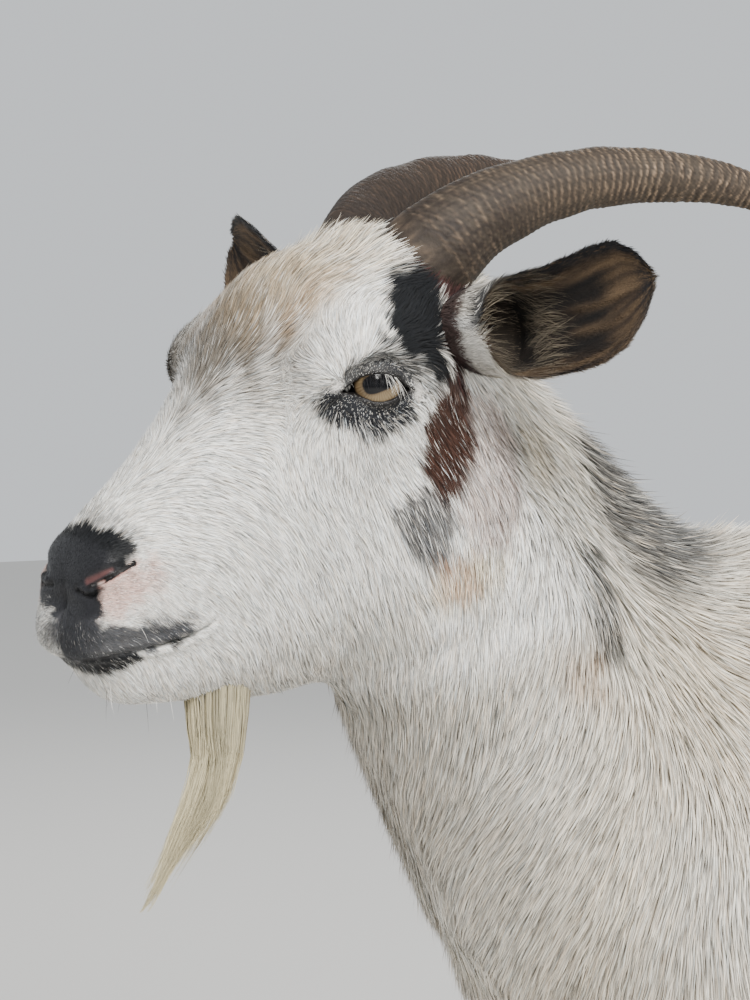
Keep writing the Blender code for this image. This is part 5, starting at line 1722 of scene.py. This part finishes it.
def whisker_plan(made):
    """Where the whiskers at the lips and the chin are looked for, and which way each points."""
    places, ways = [], []
    for _ in range(WHISKERS):
        sign = made.choice((-1, 1))
        forward = made.uniform(104, 138)
        up = made.uniform(-84, -60) if made.random() < 0.7 else made.uniform(-50, -38)
        places.append((sign * 60.0, forward, up))
        ways.append((sign * made.uniform(0.3, 0.9), made.uniform(-0.2, 0.8), -made.uniform(0.5, 1.0)))
    return np.array(places), unit(np.array(ways))


def whisker_mesh(surface):
    """Whiskers stood on the skin where they are planned."""
    made = np.random.default_rng(19)
    starts, directions = [], []
    for place, way in zip(*whisker_plan(made)):
        inward = HEAD.turn((-np.sign(place[0]), 0, 0))
        hit = surface.ray_cast(Vector(HEAD.world(place)), Vector(inward))
        if hit[0] is None:
            continue
        starts.append(np.array(hit[0]))
        directions.append(unit(HEAD.turn(way) + 0.6 * np.array(hit[1])))
    count = len(starts)
    lengths = made.uniform(*WHISKER_LENGTH, count) * MM
    colours = np.where((made.random(count) < 0.5)[:, None], WHITE, linear(60, 50, 46))
    starts, directions, sag = np.array(starts), np.array(directions), np.array((0, 0, -0.35))
    return stiff_hairs("whiskers", starts, directions, lengths, WHISKER_WIDTH, sag, colours)


def lash_mesh(eye):
    """Lashes of the upper lid that hang over the eye: white to its back corner, black to its front."""
    made = np.random.default_rng(15)
    angles = made.uniform(0.35, 2.7, LASHES)
    reach = opening_reach(angles) + 0.3
    back = LID_MIDDLE[0] + np.cos(angles) * reach
    up = LID_MIDDLE[1] + np.sin(angles) * reach
    starts = eye.world(back, up, lid_height(back, up) + 1.1)
    white = (angles < 1.60) & (made.random(LASHES) < 0.5)
    lean = 0.10 + made.normal(0, 0.22, LASHES)
    droop = made.uniform(0.25, 0.8, LASHES)
    ways = unit(eye.out * 0.62 + eye.back * lean[:, None] - eye.up * droop[:, None])
    long, short = made.uniform(*WHITE_LASH_LENGTH, LASHES), made.uniform(*DARK_LASH_LENGTH, LASHES)
    lengths = np.where(white, long, short) * MM
    colours = np.where(white[:, None], WHITE, linear(24, 22, 24))
    return stiff_hairs("lashes_" + eye.side, starts, ways, lengths, LASH_WIDTH, -0.45 * eye.up, colours)


# ---------------------------------------------------------------- the skin's own colours
def skin_colours(points):
    """The skin's colours and gloss: the coat's markings, with the nose, slits, lips' line and eyes' rims."""
    place = HEAD.place(points)
    fold, near = folded(place), place[:, 0] > 0
    colours = markings(points, np.ones(len(points)))
    # The skin is painted a little darker than the hair on it, as painted shade between the hairs, and a
    # little towards pale pink.
    pale = colours @ np.array((0.3, 0.6, 0.1))
    colours = blend(0.92 * colours, PALE_SKIN, 0.12 * pale)
    bare = bare_nose(fold)
    colours = blend(colours, linear(30, 30, 33), bare)
    slit_gap, slit_along = to_path(fold, NOSTRIL)
    lining_gap, lining_along = to_path(fold, LINING)
    lining = ease(-0.9, 0.9, 1.3 - 0.8 * lining_along - lining_gap) * near
    colours = blend(colours, linear(96, 62, 60), 0.9 * lining)
    under_wing = dome(slit_gap - 2.2, 1.6) * (over_wing(fold) < 0) * ease(0.15, 0.35, slit_along) * near
    colours = blend(colours, linear(206, 156, 144), 0.7 * under_wing)
    # The nostrils' slits and the line between the lips are painted near black, as painted shade in these
    # openings.
    slit = ease(-0.3, 0.3, 1.1 + 0.8 * slit_along**2 - slit_gap)
    slit = np.maximum(slit, dome(to_path(fold, LOWER_SLIT)[0], 1.1))
    colours = blend(colours, linear(12, 9, 9), slit)
    mouth_gap, mouth_along = to_path(fold, MOUTH)
    colours = blend(colours, linear(14, 11, 11), dome(mouth_gap, 1.2) * (1 - ease(0.8, 0.95, mouth_along)))
    gloss = bare
    for eye in EYE_SIDES:
        past, out = past_opening(eye, points)
        rim = (1 - ease(1.6, 3.8, past)) * (out > 0) * (past > -4)
        colours = blend(colours, linear(16, 13, 13), rim)
        gloss = np.maximum(gloss, 0.8 * rim)
    return colours, gloss


# ---------------------------------------------------------------- putting it together
def ridden(name, mesh, material, replaced=()):
    """A finished piece: it rides on the root and takes the place of the nodes it replaces."""
    made = new_object(name, mesh)
    mesh.materials.clear()
    mesh.materials.append(material)
    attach(made, "root")
    if replaced:
        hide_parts(*replaced)
    return made


def joined_mesh(name, pieces):
    """Several arrays of points and faces as one mesh."""
    whole = bmesh.new()
    for points, faces in pieces:
        own = mesh_from("own", points, faces)
        whole.from_mesh(own)
        bpy.data.meshes.remove(own)
    mesh = bpy.data.meshes.new(name)
    whole.to_mesh(mesh)
    whole.free()
    return mesh


LID_SINK = 6.5  # how far the skin of the face steps back under the lids, in mm
# How much darker the skin of the ear is painted than its hair, as painted shade between the hairs, and the
# mix of white hairs that its colour stands for.
EAR_SKIN_SHADE, EAR_SKIN_CHANCE = 0.8, 0.45


def under_lids(points):
    """The face's skin stepped back under the lids, so that only the lids are seen there."""
    for eye in EYE_SIDES:
        past, out = past_opening(eye, points)
        near = (out > -2) & (past < 12)
        sink = np.where(near, LID_SINK * (1 - ease(5.0, 10.0, past)), 0)
        points = points - eye.out * (sink * MM)[:, None]
    return points


hooves = {node: hoof_mesh(node) for node in sorted(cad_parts) if node.startswith(("claw", "dewclaw"))}
body_points, body_faces = mesh_arrays(skin_form())
face_surface = BVHTree.FromPolygons(body_points.tolist(), body_faces.tolist())
lids = [lid_patch(eye, face_surface) for eye in EYE_SIDES]

# The coat grows on the body and its lids as one mesh. The ears have a coat of their own.
skin_pieces = [(under_lids(body_points), body_faces)] + lids
coat_meshes = grow_coat(joined_mesh("coat_base", skin_pieces), list(hooves.values()))
ears = [ear_form(side, sign) for side, sign in SIDES]
coat_meshes += [ear_coat(side, ear) for (side, _), ear in zip(SIDES, ears)]

skin = joined_mesh("goat_skin", skin_pieces + [(ear["points"], ear["faces"]) for ear in ears])
smooth_shaded(skin)
skin_points = get_points(skin)
colours, gloss = skin_colours(skin_points)
first = len(skin_points) - sum(len(ear["points"]) for ear in ears)  # the ears come last
for ear in ears:
    count = len(ear["points"])
    chance = np.full(count, EAR_SKIN_CHANCE)
    own = ear_colour(ear["t"], ear["s"], ear["inside"], chance, HEAD.place(ear["points"]))
    colours[first:first + count] = own * EAR_SKIN_SHADE
    first += count
tint(skin, colours)
number(skin, "leather", gloss)
ridden("skin", skin, SKIN, FLESH + LEGS + EARS)

for mesh in coat_meshes:
    ridden(mesh.name, mesh, HAIR)
ridden("beard_hair", beard_mesh(), HAIR, ["beard"])
ridden("whiskers", whisker_mesh(face_surface), LASH)

for eye in EYE_SIDES:
    ridden("eyeball_" + eye.side, eyeball(eye), EYE, ["eye_" + eye.side])
    ridden("lashes_" + eye.side, lash_mesh(eye), LASH)

for side, sign in SIDES:
    ridden("horn_shell_" + side, horn_mesh(side, sign), HORN, ["horn_" + side])

for node, mesh in hooves.items():
    ridden("hoof_" + node, mesh, HOOF, [node])


# ---------------------------------------------------------------- floor, light, camera
def area_light(name, place, aim, size, power, colour):
    light = bpy.data.lights.new(name, "AREA")
    light.shape = "DISK"
    light.size = size
    light.energy = power
    light.color = colour
    made = new_object(name, light)
    made.location = place
    made.rotation_euler = (Vector(aim) - Vector(place)).to_track_quat("-Z", "Y").to_euler()
    return made


FLOOR_REACH = 8
floor_corners = [(x * FLOOR_REACH, y * FLOOR_REACH, 0) for x, y in ((-1, -1), (1, -1), (1, 1), (-1, 1))]
floor_mesh = mesh_from("floor", floor_corners, [(0, 1, 2, 3)])
floor = new_object("floor", floor_mesh)
floor_material, _, floor_shader = node_tree("floor")
set_inputs(floor_shader, {"Base Color": (*linear(206, 204, 200), 1), "Roughness": 0.9})
floor_mesh.materials.append(floor_material)

world = bpy.data.worlds.new("studio")
bpy.context.scene.world = world
world.use_nodes = True
set_inputs(world.node_tree.nodes["Background"], {"Color": (*linear(232, 236, 240), 1), "Strength": 0.95})

eyes_middle = (box_middle("eye_left") + box_middle("eye_right")) / 2
area_light("key", (2.5, -1.2, 2.6), eyes_middle, 1.3, 205, (1.0, 0.98, 0.95))
area_light("side", (2.6, 0.6, 1.5), eyes_middle, 1.6, 26, (0.95, 0.98, 1.0))
area_light("rim", (-1.8, 1.6, 2.2), eyes_middle, 1.4, 30, (1.0, 1.0, 1.0))

CAMERA_FROM_EYES = (0.709, -0.51242, -0.0211)  # metres from the middle between the eyes
CAMERA_DOWN, CAMERA_BEARING = 1.94, 52  # degrees below level, and round from straight ahead
camera_data = bpy.data.cameras.new("camera")
camera_data.lens = 74.5
camera_data.sensor_width = 36
camera_data.shift_x = -0.005
camera_data.clip_start = 0.01
camera = new_object("camera", camera_data)
camera.location = eyes_middle + np.array(CAMERA_FROM_EYES)
camera.rotation_euler = (math.radians(90 - CAMERA_DOWN), 0, math.radians(CAMERA_BEARING))
bpy.context.scene.camera = camera

bpy.context.view_layer.update()
